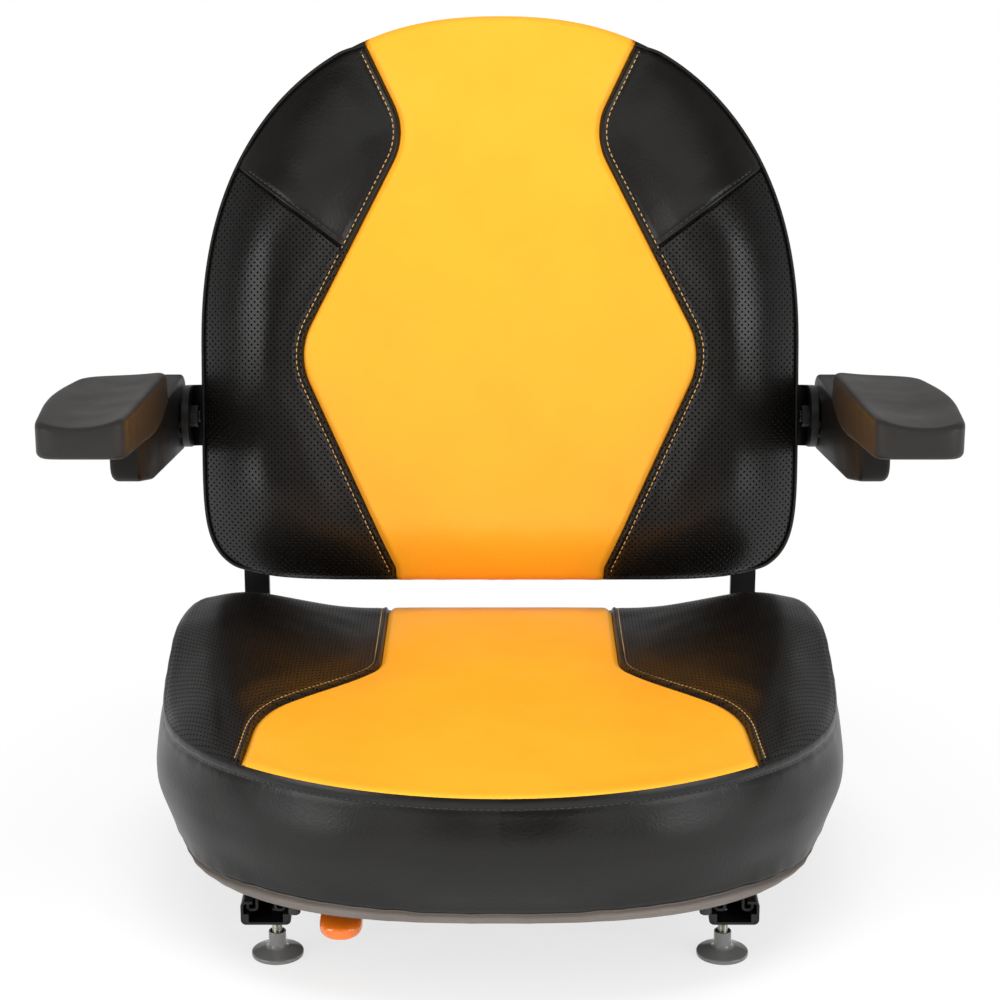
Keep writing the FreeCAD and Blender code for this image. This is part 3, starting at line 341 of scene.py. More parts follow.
def make_piece(name, grids, material, body, nodes=()):
    """A piece of one material from grids of points, put on its body."""
    sheet = Sheet()
    for rows in grids:
        sheet.grid(rows)
    ride_for(sheet.piece(name, [material]), body, nodes)


def circle(count):
    """Cosine, sine and share of a turn of evenly spaced points, back to the first one."""
    turns = [math.tau * (k % count) / count for k in range(count + 1)]
    return [(math.cos(turn), math.sin(turn), k / count) for k, turn in enumerate(turns)]


def quarter_round(steps):
    """Inset and rise of a rounded rim of radius 1, from its foot to its full width."""
    turns = [math.pi / 2 * k / steps for k in range(steps + 1)]
    return [(1 - math.sin(turn), 1 - math.cos(turn)) for turn in turns]


def shrunk(outline, inset):
    """A closed outline moved inwards, back to its first point."""
    moved = []
    for i, p in enumerate(outline):
        run = outline[(i + 1) % len(outline)] - outline[i - 1]
        moved.append(p - Vector((run.y, -run.x)).normalized() * inset)
    return moved + moved[:1]


def capped(rings):
    """Rings of (point, pattern coordinates) with the middle of the first and last put at the ends."""
    ends = []
    for ring in (rings[0], rings[-1]):
        middle = sum((spot for spot, _ in ring[:-1]), Vector()) / (len(ring) - 1)
        ends.append([(middle, uv) for _, uv in ring])
    return [ends[0]] + rings + [ends[1]]


# Upholstered forms. Each has a plan (x, v), a height over the plan and a place in the seat.

class Upholstery:
    """What both cushions share: distances to seams, and heights with the sewing worked in."""

    def prepare(self):
        self.edge_tree = tree_of([self.edge(math.tau * i / SEAM_SAMPLES) for i in range(SEAM_SAMPLES)])
        path = resample(rounded_path(self.seam_corners, SEAM_ARC_STEP), PATH_SAMPLES)
        inside = [p for p in path if self.covers(p)]
        first = narrowed(inside[0], path[path.index(inside[0]) - 1], self.covers)
        last = narrowed(inside[-1], path[path.index(inside[-1]) + 1], self.covers)
        self.seam = resample([first] + inside + [last], SIDE_SAMPLES)
        self.seam_tree = tree_of(self.seam)

    def polar(self, angle, radius):
        return Vector((radius * math.cos(angle), self.middle + radius * math.sin(angle)))

    def edge(self, angle):
        return self.polar(angle, self.radius(angle))

    def edge_v(self, x, rear):
        """Where the outline crosses x, at its rear or its front."""
        low, high = (0.0, math.pi / 2) if rear else (-math.pi / 2, 0.0)
        return self.edge(narrowed(low, high, lambda angle: (self.edge(angle).x > abs(x)) == rear)).y

    def angle_of(self, p):
        return math.atan2(p.y - self.middle, p.x)

    def share(self, x, v):
        angle = math.atan2(v - self.middle, x)
        return math.hypot(x, v - self.middle) / self.radius(angle)

    def covers(self, p, limit=1.0):
        """Whether a plan point lies within a share of the outline."""
        return self.share(p.x, p.y) < limit

    def to_seam(self, x, v):
        return self.seam_tree.find((abs(x), v, 0))[2]

    def to_edge(self, x, v):
        return self.edge_tree.find((x, v, 0))[2]

    def plain_height(self, x, v, seam, edge):
        """Height of the crowned form with its slight waves, which fade towards seams and edges."""
        waves = sum(height * noise.noise((x * count, v * count, self.seed + shift))
                    for height, count, shift in UNEVENNESS)
        return self.top(x, v) + waves * smooth_step(0, UNEVEN_MARGIN, min(seam, edge))

    def center_height(self, x, v):
        """Height of the centre panel: full between its seams, drawn in along them."""
        seam = self.to_seam(x, v)
        edge = self.to_edge(x, v)
        height = self.plain_height(x, v, seam, edge)
        height += PUFF * (1 - bump_at(seam, CENTER_PUFF_WIDTH)) * (1 - bump_at(edge, CENTER_PUFF_EDGE))
        return height - SEAM_DEPTH * bump_at(seam, SEAM_WIDTH) - EDGE_SEAM_DEPTH * bump_at(edge, SEAM_WIDTH)

    def side_height(self, x, v):
        """Height of a side panel: a flat welt along the seam, a stitched line, then a full panel."""
        seam = self.to_seam(x, v)
        edge = self.to_edge(x, v)
        height = self.plain_height(x, v, seam, edge)
        height += WELT_RISE * bump_at(seam - 0.5 * WELT_WIDTH, 0.4 * WELT_WIDTH)
        height -= STITCH_SINK * bump_at(seam - WELT_WIDTH, STITCH_SINK_WIDTH)
        height += PUFF * smooth_step(WELT_WIDTH, SIDE_PUFF_WIDTH, seam) * (1 - bump_at(edge, SIDE_PUFF_EDGE))
        height -= SEAM_DEPTH * bump_at(seam, 0.55 * SEAM_WIDTH)
        height += self.cross_seam(x, v) * smooth_step(0.4 * WELT_WIDTH, 1.6 * WELT_WIDTH, seam)
        return height - EDGE_SEAM_DEPTH * bump_at(edge, SEAM_WIDTH)

    def cross_seam(self, x, v):
        return 0.0

    def band_slot(self, angle, column):
        """The material of the side band: plain, and a paler hem below the crease, whose black vinyl is
        lightened as a painted reflection of the white floor.
        """
        return BAND if column < BAND_ROWS else HEM

    def lift(self, x, v, height):
        return self.place(x, v, height), (x, v)


class SeatForm(Upholstery):
    middle = CUSHION_MIDDLE
    front = CUSHION_MIDDLE - CUSHION_FRONT
    rear = CUSHION_MIDDLE + CUSHION_REAR
    seed = 3.0
    seam_corners = [(0.098, 0.240, 0), (0.098, 0.038, 0.060), (0.185, -0.098, 0.140), (0.1975, -0.282, 0)]
    knots = [(HEM_BOTTOM, -HEM_INSET, HEM_POWER), (CREASE_LEVEL, -CREASE_INSET, CREASE_POWER),
             (BELLY_LEVEL, -BELLY_INSET, BELLY_POWER), (SHOULDER_LEVEL, 0.0, CUSHION_FRONT_POWER),
             (SEAM_TOP_LEVEL, 0.0, CUSHION_FRONT_POWER)]

    def radius(self, angle, grow=0.0, power=CUSHION_FRONT_POWER):
        return outline_radius(angle, CUSHION_HALF_WIDTH + grow, CUSHION_FRONT + grow, CUSHION_REAR + grow,
                              power, CUSHION_REAR_POWER)

    def seam_level(self, v):
        drop = SIDE_SEAM_DROP * (1 - smooth_step(self.middle - SIDE_DROP_LEAD, self.front, v))
        hip = HIP_SEAM_RISE * smooth_step(HIP_FRONT, HIP_REAR, v)
        tail = REAR_SEAM_DROP * smooth_step(self.rear - REAR_FADE, self.rear, v)
        return PAN_HEIGHT + FRONT_SEAM_HEIGHT - drop + hip - tail

    def crown(self, x, v):
        middle = PAN_HEIGHT + CROWN_FRONT - CROWN_FALL * smooth_step(self.front, self.rear, v)
        rise = BOLSTER_RISE * smooth_step(self.front, self.rear - REAR_FADE, v)
        rise *= 1 - BOLSTER_REAR_LOSS * smooth_step(self.rear - BOLSTER_REAR_FADE, self.rear, v)
        return middle + rise * smooth_step(BOLSTER_START, BOLSTER_CREST, abs(x))

    def top(self, x, v):
        roll = edge_roll(self.share(x, v), CUSHION_ROLL_START)
        return (1 - roll) * self.crown(x, v) + roll * self.seam_level(v)

    def place(self, x, v, height):
        return Vector((x, v, height))

    def band(self, angle, drop, along):
        """A point of the side band, drop below the sewn edge, with creases worked in."""
        level = self.seam_level(self.edge(angle).y) - EDGE_SEAM_DEPTH - drop
        grow, power = through_knots(self.knots, level)
        if level > SHOULDER_LEVEL:
            grow, power = 0.0, CUSHION_FRONT_POWER
        crease = self.crease(angle, along)
        grow += EDGE_SWELL * bump_at(drop - 0.004, 0.004)
        grow -= BOXING_STITCH_SINK * bump_at(drop - BOXING_STITCH_DROP, 0.0016)
        grow -= CREASE_DEPTH * bump_at(level - crease, 0.0017)
        grow += HEM_SWELL * bump_at(level - (HEM_BOTTOM + crease) / 2, 0.0028)
        bulge = FRONT_BULGE * max(0.0, -math.sin(angle)) ** 0.5 + SIDE_BULGE * math.cos(angle) ** 2
        grow += bulge * smooth_step(0.0, BULGE_RISE, drop) * (1 - smooth_step(*BULGE_FALL, drop))
        inner = smooth_step(0.004, 0.03, drop) * smooth_step(CREASE_LEVEL, CREASE_LEVEL + 0.02, level)
        swell = noise.noise((along * BAND_SWELL_ALONG, level * BAND_SWELL_DOWN, 5))
        pucker = noise.noise((along * BAND_PUCKER_ALONG, drop * BAND_PUCKER_DOWN, 9))
        hem_pucker = noise.noise((along * HEM_PUCKER_ALONG, 0, 4))
        grow += BAND_SWELL * swell * inner
        grow += BAND_PUCKER * pucker * bump_at(drop - BOXING_STITCH_DROP, 0.009)
        grow += HEM_PUCKER * hem_pucker * bump_at(level - crease, 0.010)
        return Vector((*self.polar(angle, self.radius(angle, grow, power)), level))

    def crease(self, angle, along):
        """Level of the wavy crease over the hem, which narrows towards the sides."""
        wave = sum(height * noise.noise((along * count, 0, seed)) for height, count, seed in CREASE_WAVES)
        narrow = HEM_SIDE_SHARE + (1 - HEM_SIDE_SHARE) * smooth_step(0.45, 0.85, -math.sin(angle))
        return HEM_BOTTOM + (CREASE_LEVEL - HEM_BOTTOM + wave) * narrow

    def band_drops(self, angle, along):
        """Drops of the side band's rows: down to the crease, then down the hem."""
        total = self.seam_level(self.edge(angle).y) - EDGE_SEAM_DEPTH - HEM_BOTTOM
        upper = total + HEM_BOTTOM - self.crease(angle, along)
        drops = [upper * share for share in crowded_ends(BAND_ROWS, BAND_EVENNESS)[1:]]
        return drops + [upper + (total - upper) * share for share in crowded_ends(HEM_ROWS)[1:]]

    def closing(self, angle, foot):
        """Points from the hem's foot across its edge, up to the pan and in to the middle."""
        inner = self.polar(angle, self.radius(angle, -HEM_INSET - HEM_WALL, HEM_POWER))
        roof = Vector((*inner, PAN_TOP + PAN_GAP))
        middle = Vector((0, self.middle, roof.z))
        return [Vector((*inner, HEM_BOTTOM)), roof, roof.lerp(middle, 0.5), middle]


class BackForm(Upholstery):
    middle = BACK_WIDEST
    seed = 21.0
    seam_corners = [(0.1265, 0.520, 0), (0.124, 0.470, 0), (0.079, 0.377, 0.055), (0.175, 0.188, 0.060),
                    (0.091, 0.0, 0.004), (0.091, -0.030, 0)]
    knots = [(0.0, -0.006), (0.4 * BACK_EDGE_DEPTH, -0.0015), (BACK_EDGE_DEPTH, 0.0)]
    cross_inner = Vector((0.137, 0.280))
    cross_outer = Vector((0.2285, 0.3485))

    def radius(self, angle, grow=0.0):
        return outline_radius(angle, BACK_HALF_WIDTH + grow, BACK_LOWER_REACH + grow,
                              BACK_LENGTH - BACK_WIDEST + grow, BACK_LOWER_POWER, BACK_UPPER_POWER)

    def crown(self, x, v):
        top = smooth_step(BACK_THINNING_START, BACK_LENGTH, v)
        middle = BACK_DEPTH - BACK_TOP_THINNING * top
        foot = 1 - smooth_step(0, BACK_FOOT_FADE, v)
        rise = BACK_BOLSTER_RISE * (1 - BACK_BOLSTER_TOP_LOSS * top) * (1 - BACK_BOLSTER_FOOT_LOSS * foot)
        return middle + rise * smooth_step(BACK_BOLSTER_START, BACK_BOLSTER_CREST, abs(x))

    def top(self, x, v):
        roll = edge_roll(self.share(x, v), BACK_ROLL_START)
        return (1 - roll) * self.crown(x, v) + roll * BACK_EDGE_DEPTH

    def place(self, x, v, height):
        y = BACK_FOOT_Y + v * math.sin(RECLINE) - height * math.cos(RECLINE)
        z = BACK_FOOT_Z + v * math.cos(RECLINE) + height * math.sin(RECLINE)
        return Vector((x, y, z))

    def to_cross(self, x, v):
        """Signed distance to the slanting seam of the side panel, positive above it."""
        along = (self.cross_outer - self.cross_inner).normalized()
        offset = Vector((abs(x), v)) - self.cross_inner
        return along.x * offset.y - along.y * offset.x

    def cross_seam(self, x, v):
        distance = self.to_cross(x, v)
        fold = CROSS_FOLD * smooth_step(-0.0004, 0.0010, distance) * (1 - smooth_step(0.006, 0.03, distance))
        seam = CROSS_SEAM_DEPTH * bump_at(distance, CROSS_SEAM_WIDTH)
        return fold - seam - CROSS_STITCH_SINK * bump_at(distance - CROSS_STITCH_SHIFT, CROSS_SEAM_WIDTH)

    def band_slot(self, angle, column):
        """The centre panel's vinyl wraps over the top and bottom edges."""
        rim = self.edge(angle + 0.0005)
        end = self.seam[0] if rim.y > self.middle else self.seam[-1]
        return YELLOW if abs(rim.x) < end.x else BAND

    def band(self, angle, drop, along):
        level = max(BACK_EDGE_DEPTH - EDGE_SEAM_DEPTH - drop, 0.0)
        grow = through_knots(self.knots, level)[0]
        grow += 0.0008 * bump_at(drop - 0.004, 0.003)
        pucker = noise.noise((along * BACK_PUCKER_ALONG, 0, 3))
        grow += BACK_PUCKER * pucker * bump_at(drop - 0.008, 0.008)
        return self.place(*self.polar(angle, self.radius(angle, grow)), level)

    def band_drops(self, angle, along):
        total = BACK_EDGE_DEPTH - EDGE_SEAM_DEPTH
        return [total * share for share in crowded_ends(BAND_ROWS, BAND_EVENNESS)[1:]]

    def closing(self, angle, foot):
        """Points from the back edge in to the middle of the flat rear."""
        middle = self.place(0, self.middle, 0)
        return [foot.lerp(middle, share) for share in (0.04, 0.15, 0.5, 1.0)]


# Panels of a cover

ALONG = 150
ACROSS_CENTER = 72
ACROSS_SIDE = 44
BAND_ROWS = 40
HEM_ROWS = 10
BAND_EVENNESS = 0.55


def side_lines(form):
    """Matching points along the seam and along the outline of a side panel, left side."""
    start = form.angle_of(form.seam[0])
    end = form.angle_of(form.seam[-1])
    outline = [form.edge(start + (end - start) * i / SIDE_SAMPLES) for i in range(SIDE_SAMPLES + 1)]
    if isinstance(form, BackForm):
        inner_cut = nearest_index(form.seam, form.cross_inner)
        outer_cut = nearest_index(outline, form.cross_outer)
        upper = round(ALONG * inner_cut / len(form.seam))
        counts = (upper, ALONG - upper)
        return split_sample(form.seam, inner_cut, counts), split_sample(outline, outer_cut, counts), upper
    return resample(form.seam, ALONG), resample(outline, ALONG), 0


def center_rows(form, inner):
    """Plan points of the centre panel, in rows across it that bow to meet the outline's ends."""
    rows = []
    for j, edge in enumerate(inner):
        v_share = j / ALONG
        row = []
        for u in crowded_ends(ACROSS_CENTER):
            across = 2 * u - 1
            rear = form.edge_v(across * inner[0].x, True) - inner[0].y
            front = form.edge_v(across * inner[-1].x, False) - inner[-1].y
            row.append(Vector((across * edge.x, edge.y + (1 - v_share) * rear + v_share * front)))
        rows.append(row)
    return rows


def build_cover(form, name, materials, node):
    """The black cover: two side panels, a sunk bed for the centre panel, a side band and a base."""
    sheet = Sheet()
    inner, outer, upper = side_lines(form)
    shares = crowded_ends(ACROSS_SIDE)
    for side in SIDES.values():
        rows = []
        for near, far in zip(inner, outer):
            spots = [near.lerp(far, w) for w in shares]
            rows.append([form.lift(side * p.x, p.y, form.side_height(p.x, p.y)) for p in spots])
        sheet.grid(rows, slot_of=lambda j, i: PLAIN if j < upper else HOLES)
    bed = []
    for row in center_rows(form, inner):
        spots = []
        for p in row:
            sink = PANEL_BED_DEPTH * smooth_step(0, 0.5 * SEAM_WIDTH, form.to_seam(p.x, p.y))
            spots.append(form.lift(p.x, p.y, form.center_height(p.x, p.y) - sink))
        bed.append(spots)
    sheet.grid(bed)
    add_band(form, sheet, rim_angles(form, inner, outer))
    ride_for(sheet.piece(name, materials), "seat", [node])


def rim_angles(form, inner, outer):
    """Polar angles of every vertex on the sewn edge, once round, from the front middle."""
    rows = center_rows(form, inner)
    ends = [p for p in rows[-1] + rows[0] if p.x > 1e-6]
    half = sorted(set(round(form.angle_of(p), 9) for p in outer + ends))
    half = half[:1] + [b for a, b in zip(half, half[1:]) if b - a > 1e-6]
    other = [math.pi - a for a in half[::-1]]
    return [-math.pi / 2] + half + [math.pi / 2] + other


def band_place(angle):
    """A place along the band for its waves, which is the same at both ends of the round."""
    return 1.1 * math.sin(angle / 2 + math.pi / 4)


def add_band(form, sheet, angles):
    """The side band from the sewn edge down, and the base that closes it."""
    rows = []
    along = 0.0
    angles = angles + [angles[0] + math.tau]
    last = form.edge(angles[0])
    for angle in angles:
        rim = form.edge(angle)
        along += (rim - last).length
        last = rim
        wrap = band_place(angle)
        height = max(form.side_height(rim.x, rim.y), form.center_height(rim.x, rim.y))
        row = [(form.place(rim.x, rim.y, height), (along, 0.0))]
        for drop in form.band_drops(angle, wrap):
            row.append((form.band(angle, drop, wrap), (along, drop)))
        foot = row[-1][0]
        inward = drop
        for spot in form.closing(angle, foot):
            inward += (spot - foot).length
            foot = spot
            row.append((spot, (along, inward)))
        rows.append(row)
    sheet.grid(rows, slot_of=lambda j, i: form.band_slot(angles[j], i))


def build_center(form, name, material, node):
    """The centre panel: a closed sheet that is full between its seams."""
    upper = []
    lower = []
    for row in center_rows(form, side_lines(form)[0]):
        heights = [form.center_height(p.x, p.y) for p in row]
        upper.append([form.lift(p.x, p.y, h) for p, h in zip(row, heights)])
        lower.append([form.lift(p.x, p.y, h - PANEL_SHEET) for p, h in zip(row, heights)])
    grids = [upper, lower, [ring_of(upper), ring_of(lower)]]
    make_piece(name, grids, material, "seat", [node])


def ring_of(rows):
    """The boundary of a grid, once round and back to its start."""
    ring = list(rows[0])
    ring += [row[-1] for row in rows[1:]]
    ring += list(rows[-1][-2::-1])
    ring += [row[0] for row in rows[-2::-1]]
    return ring


# Piping

PIPING_RADIUS = 0.0015
PIPING_FOOT = 0.012
PIPING_ROWS = 260
PIPING_END_ROWS = 12


def build_piping(form, name, material):
    """A covered cord sewn into both side edges of the backrest, sunk at its ends."""
    tubes = []
    first = math.asin((PIPING_FOOT - form.middle) / BACK_HALF_WIDTH)
    last = form.angle_of(form.seam[0])
    for side in SIDES.values():
        rings = []
        for i in range(PIPING_ROWS + 1):
            angle = first + (last - first) * i / PIPING_ROWS
            rim, after = form.edge(angle), form.edge(angle + 0.001)
            out = Vector((after.y - rim.y, rim.x - after.x)).normalized()
            full = smooth_step(0, PIPING_END_ROWS, min(i, PIPING_ROWS - i))
            rim = rim - out * (2 * PIPING_RADIUS * (1 - full))
            ring = []
            for c, s, share in circle(10):
                spoke = rim + out * (PIPING_RADIUS * c)
                spot = form.place(side * spoke.x, spoke.y, BACK_EDGE_DEPTH + PIPING_RADIUS * s)
                ring.append((spot, (i / PIPING_ROWS, share)))
            rings.append(ring)
        tubes.append(capped(rings))
    make_piece(name, tubes, material, "seat")


# Stitches, each with a profile of (place, thickness, lift) in lengths and radii

STITCH_PROFILE = [(-0.5, 0.25, -0.9), (-0.38, 0.85, -0.1), (0.0, 1.0, 0.25), (0.38, 0.85, -0.1),
                  (0.5, 0.25, -0.9)]


def stitch(middle, along, up):
    """One stitch: a short bent strand that dips into the cover at both ends."""
    along = along.normalized()
    across = along.cross(up).normalized()
    up = across.cross(along).normalized()
    rings = []
    for place, thick, lift in STITCH_PROFILE:
        centre = middle + along * (place * STITCH_LENGTH) + up * (lift * STITCH_RADIUS)
        radius = thick * STITCH_RADIUS
        rings.append([(centre + (across * c + up * s) * radius, (place, share)) for c, s, share in circle(6)])
    return rings


def stitch_line(points, normal_at):
    length = sum((b - a).length for a, b in zip(points, points[1:]))
    spots = resample(points, int(length / STITCH_PITCH))
    middles = [(here + there) / 2 for here, there in zip(spots, spots[1:])]
    return [stitch(p, there - here, normal_at(p)) for p, here, there in zip(middles, spots, spots[1:])]


def side_stitches(form, name, material, line, lift):
    """Topstitching along a line on the plan of both side panels."""
    up = form.place(0, 0, 1) - form.place(0, 0, 0)
    heights = [form.side_height(p.x, p.y) + lift * STITCH_RADIUS for p in line]
    stitches = []
    for side in SIDES.values():
        points = [form.place(side * p.x, p.y, height) for p, height in zip(line, heights)]
        stitches += stitch_line(points, lambda spot: up)
    make_piece(name, stitches, material, "seat")


def seam_stitches(form, name, material):
    """Topstitching along both seams of a centre panel, a welt's width outside them."""
    line = resample(form.seam, 600)
    shifted = []
    for before, here, after in zip(line, line[1:], line[2:]):
        run = (after - before).normalized()
        outward = Vector((-run.y, run.x)) if run.y < 0 else Vector((run.y, -run.x))
        shifted.append(here + outward * WELT_WIDTH)
    shifted = [p for p in shifted if form.covers(p, 0.985)]
    side_stitches(form, name, material, shifted, 0.3)


def cross_stitches(form, name, material):
    """Topstitching above the slanting seams of the backrest."""
    run = (form.cross_outer - form.cross_inner).normalized()
    shift = Vector((-run.y, run.x)) * CROSS_STITCH_SHIFT
    line = [form.cross_inner.lerp(form.cross_outer, 0.07 + 0.83 * i / 60) + shift for i in range(61)]
    line = [p for p in line if form.covers(p, 0.97)]
    side_stitches(form, name, material, line, 0.2)


def boxing_stitches(form, name, material):
    """Topstitching round the seat's side band, below its sewn edge."""
    points = []
    for i in range(721):
        angle = -math.pi / 2 + math.tau * i / 720
        spot = form.band(angle, BOXING_STITCH_DROP, band_place(angle))
        points.append(spot + Vector((math.cos(angle), math.sin(angle), 0)) * (0.2 * STITCH_RADIUS))
    middle = Vector((0, form.middle, 0))
    stitches = stitch_line(points, lambda spot: ((spot - middle) * Vector((1, 1, 0))).normalized())
    make_piece(name, stitches, material, "seat")


# Armrest pads

PAD_INNER_X = 0.274
PAD_OUTER_X = 0.350
PAD_FRONT_NARROWING = 0.008
PAD_REAR_NARROWING = 0.008
PAD_FRONT_Y = -0.130
PAD_REAR_Y = 0.120
PAD_FRONT_Z = 0.3885
PAD_FALL = 0.024
PAD_THICKNESS = 0.0325
PAD_DISH = 0.0085
PAD_DISH_LOSS = 0.6
PAD_BELLY = [(PAD_FRONT_Y, 0.0), (-0.040, -0.0040), (0.050, -0.0068), (PAD_REAR_Y, 0.008)]
PAD_TOP_ROUND = 0.0065
PAD_SMOOTHING = 14
PAD_BOTTOM_ROUND = 0.005
PAD_ROUND_STEPS = 7
PAD_FLOOR_SHARES = (1.0, 0.5, 0.0)
PAD_TOP_SHARES = (0.06, 0.14, 0.25, 0.4, 0.55, 0.7, 0.85, 1.0)
PAD_SPINE = (PAD_FRONT_Y + 0.035, PAD_REAR_Y - 0.03)
PAD_SPINE_X = PAD_INNER_X + 0.4 * (PAD_OUTER_X - PAD_INNER_X)


def pad_outline():
    corners = [
        (PAD_INNER_X, PAD_FRONT_Y, 0.009), (PAD_OUTER_X - PAD_FRONT_NARROWING, PAD_FRONT_Y, 0.013),
        (PAD_OUTER_X + 0.003, (PAD_FRONT_Y + PAD_REAR_Y) / 2, 0.600),
        (PAD_OUTER_X - PAD_REAR_NARROWING, PAD_REAR_Y, 0.046), (PAD_INNER_X, PAD_REAR_Y, 0.010),
    ]
    path = resample(rounded_path(corners, 0.001, closed=True), 240)[:-1]
    for _ in range(PAD_SMOOTHING):
        path = [(path[i - 1] + 2 * path[i] + path[(i + 1) % len(path)]) / 4 for i in range(len(path))]
    return path


def pad_line(y):
    """The straight line under the pad, which falls to the rear."""
    return PAD_FRONT_Z - PAD_FALL * (y - PAD_FRONT_Y) / (PAD_REAR_Y - PAD_FRONT_Y)


def pad_floor(y):
    """The pad's underside, deepest over the arm."""
    return pad_line(y) + through_knots(PAD_BELLY, y)[0]


def pad_top(x, y):
    middle = (PAD_INNER_X + PAD_OUTER_X) / 2
    off = (x - middle) / ((PAD_OUTER_X - PAD_INNER_X) / 2)
    dish = PAD_DISH * (1 - PAD_DISH_LOSS * smooth_step(PAD_FRONT_Y, PAD_REAR_Y, y))
    return pad_line(y) + PAD_THICKNESS - dish * (1 - min(1.0, off * off))


def pad_levels():
    """Rows of the pad from the middle of its floor to the middle of its top:
    (on top, inset, rise, share of the way to its spine)."""
    rounds = quarter_round(PAD_ROUND_STEPS)
    levels = [(False, PAD_BOTTOM_ROUND, 0.0, inward) for inward in PAD_FLOOR_SHARES]
    levels += [(False, PAD_BOTTOM_ROUND * inset, PAD_BOTTOM_ROUND * rise, 0.0) for inset, rise in rounds]
    levels += [(True, PAD_TOP_ROUND * rise, -PAD_TOP_ROUND * inset, 0.0) for inset, rise in rounds]
    return levels + [(True, PAD_TOP_ROUND, 0.0, inward) for inward in PAD_TOP_SHARES]


def build_pad(side_name, material):
    """A moulded armrest pad: rounded rims, a dished top and a bellied underside."""
    outline = pad_outline()
    rings = []
    for on_top, inset, rise, inward in pad_levels():
        ring = []
        for p, q in zip(outline + outline[:1], shrunk(outline, inset)):
            q = q.lerp(Vector((PAD_SPINE_X, min(max(p.y, PAD_SPINE[0]), PAD_SPINE[1]))), inward)
            z = rise + (pad_top(q.x, q.y) if on_top else pad_floor(q.y))
            ring.append((Vector((SIDES[side_name] * q.x, q.y, z)), (q.x, q.y)))
        rings.append(ring)
    make_piece(side_name + "_armrest_cushion", [rings], material, side_name + "_armrest",
               [side_name + "_arm_pad"])


# Moulded arms, fuller and rounder than the solids

ARM_NOSE_Y = -0.027
ARM_NOSE_BOTTOM = 0.3425
ARM_KEEL = (0.050, 0.3225, 0.120)
ARM_HEEL_Y = 0.080
ARM_INTO_PAD = 0.004
ARM_TAIL_RADIUS = 0.034
ARM_TAIL_DROP = 0.036
ARM_TAIL_CORNER = 0.0265
ARM_INNER_ROUND = 0.003
ARM_OUTER_ROUND = 0.006
ARM_ROUND_STEPS = 6
ARM_CHAMFER = 0.0004
ARM_BORE_RADIUS = 0.0081
ARM_RECESS_RADIUS = 0.0100
ARM_RECESS_DEPTH = 0.0070
ARM_GROOVE = (0.0185, 0.0256)
ARM_GROOVE_DEPTH = 0.0090
ARM_FACE_SHARES = (0.1, 0.3, 0.6, 1.0)


def arm_outline(pivot):
    """The arm's outline in its side plane (y, z), round about the pivot."""
    tail = pivot.x + ARM_TAIL_RADIUS
    corners = [
        (ARM_NOSE_Y, pad_floor(ARM_NOSE_Y) + ARM_INTO_PAD, 0.004), (ARM_NOSE_Y, ARM_NOSE_BOTTOM, 0.016),
        ARM_KEEL, (tail, pivot.y - ARM_TAIL_DROP, ARM_TAIL_CORNER),
        (tail, pivot.y + ARM_TAIL_RADIUS, ARM_TAIL_CORNER),
        (ARM_HEEL_Y, pad_floor(ARM_HEEL_Y) + ARM_INTO_PAD, 0.150),
    ]
    return resample(rounded_path(corners, 0.001, closed=True), 260)[:-1]


def arm_levels():
    """Rows of the arm over its inner and outer faces and back through the bore:
    (radius, share, inset, face, depth)."""
    inner, outer = ARM_GROOVE
    levels = [(radius, 0.0, 0.0, 0, depth) for radius, depth in (
        (ARM_BORE_RADIUS, 0.0), (inner - ARM_CHAMFER, 0.0), (inner, ARM_CHAMFER), (inner, ARM_GROOVE_DEPTH),
        (outer, ARM_GROOVE_DEPTH), (outer, ARM_CHAMFER), (outer + ARM_CHAMFER, 0.0))]
    levels += [(outer + ARM_CHAMFER, share, ARM_INNER_ROUND, 0, 0.0) for share in ARM_FACE_SHARES]
    rounds = quarter_round(ARM_ROUND_STEPS)[1:]
    levels += [(0.0, 1.0, ARM_INNER_ROUND * inset, 0, ARM_INNER_ROUND * depth) for inset, depth in rounds]
    rounds.reverse()
    levels += [(0.0, 1.0, ARM_OUTER_ROUND * inset, 1, ARM_OUTER_ROUND * depth) for inset, depth in rounds]
    recess = ARM_RECESS_RADIUS
    levels += [(recess + ARM_CHAMFER, share, ARM_OUTER_ROUND, 1, 0.0) for share in reversed(ARM_FACE_SHARES)]
    levels += [(radius, 0.0, 0.0, 1, depth) for radius, depth in (
        (recess + ARM_CHAMFER, 0.0), (recess, ARM_CHAMFER), (recess, ARM_RECESS_DEPTH),
        (ARM_BORE_RADIUS, ARM_RECESS_DEPTH))]
    return levels + levels[:1]


def build_arm(side_name, material):
    """A moulded arm: rounded rims, a recess for the bolt head and a groove for the stop pin."""
    low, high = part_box(side_name + "_arm_support")
    faces = sorted((abs(low[0]), abs(high[0])))
    bolt_low, bolt_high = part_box(side_name + "_pivot_bolt")
    pivot = Vector(((bolt_low[1] + bolt_high[1]) / 2, (bolt_low[2] + bolt_high[2]) / 2))
    outline = arm_outline(pivot)
    rings = []
    for radius, share, inset, face, depth in arm_levels():
        x = SIDES[side_name] * (faces[face] + (-depth if face else depth))
        ring = []
        for p, rim in zip(outline + outline[:1], shrunk(outline, inset)):
            near = pivot + (p - pivot).normalized() * radius
            q = near.lerp(rim, share)
            ring.append((Vector((x, q.x, q.y)), (q.x, q.y)))
        rings.append(ring)
    make_piece(side_name + "_moulded_arm", [rings], material, side_name + "_armrest",
               [side_name + "_arm_support"])


# Studs with a rolled thread

THREAD_PITCH = 0.00125
THREAD_DEPTH = 0.0006
THREAD_ROWS = 5
STUD_RADIUS = 0.004
STUD_HEAD_RADIUS = 0.006
STUD_HEAD_HEIGHT = 0.004


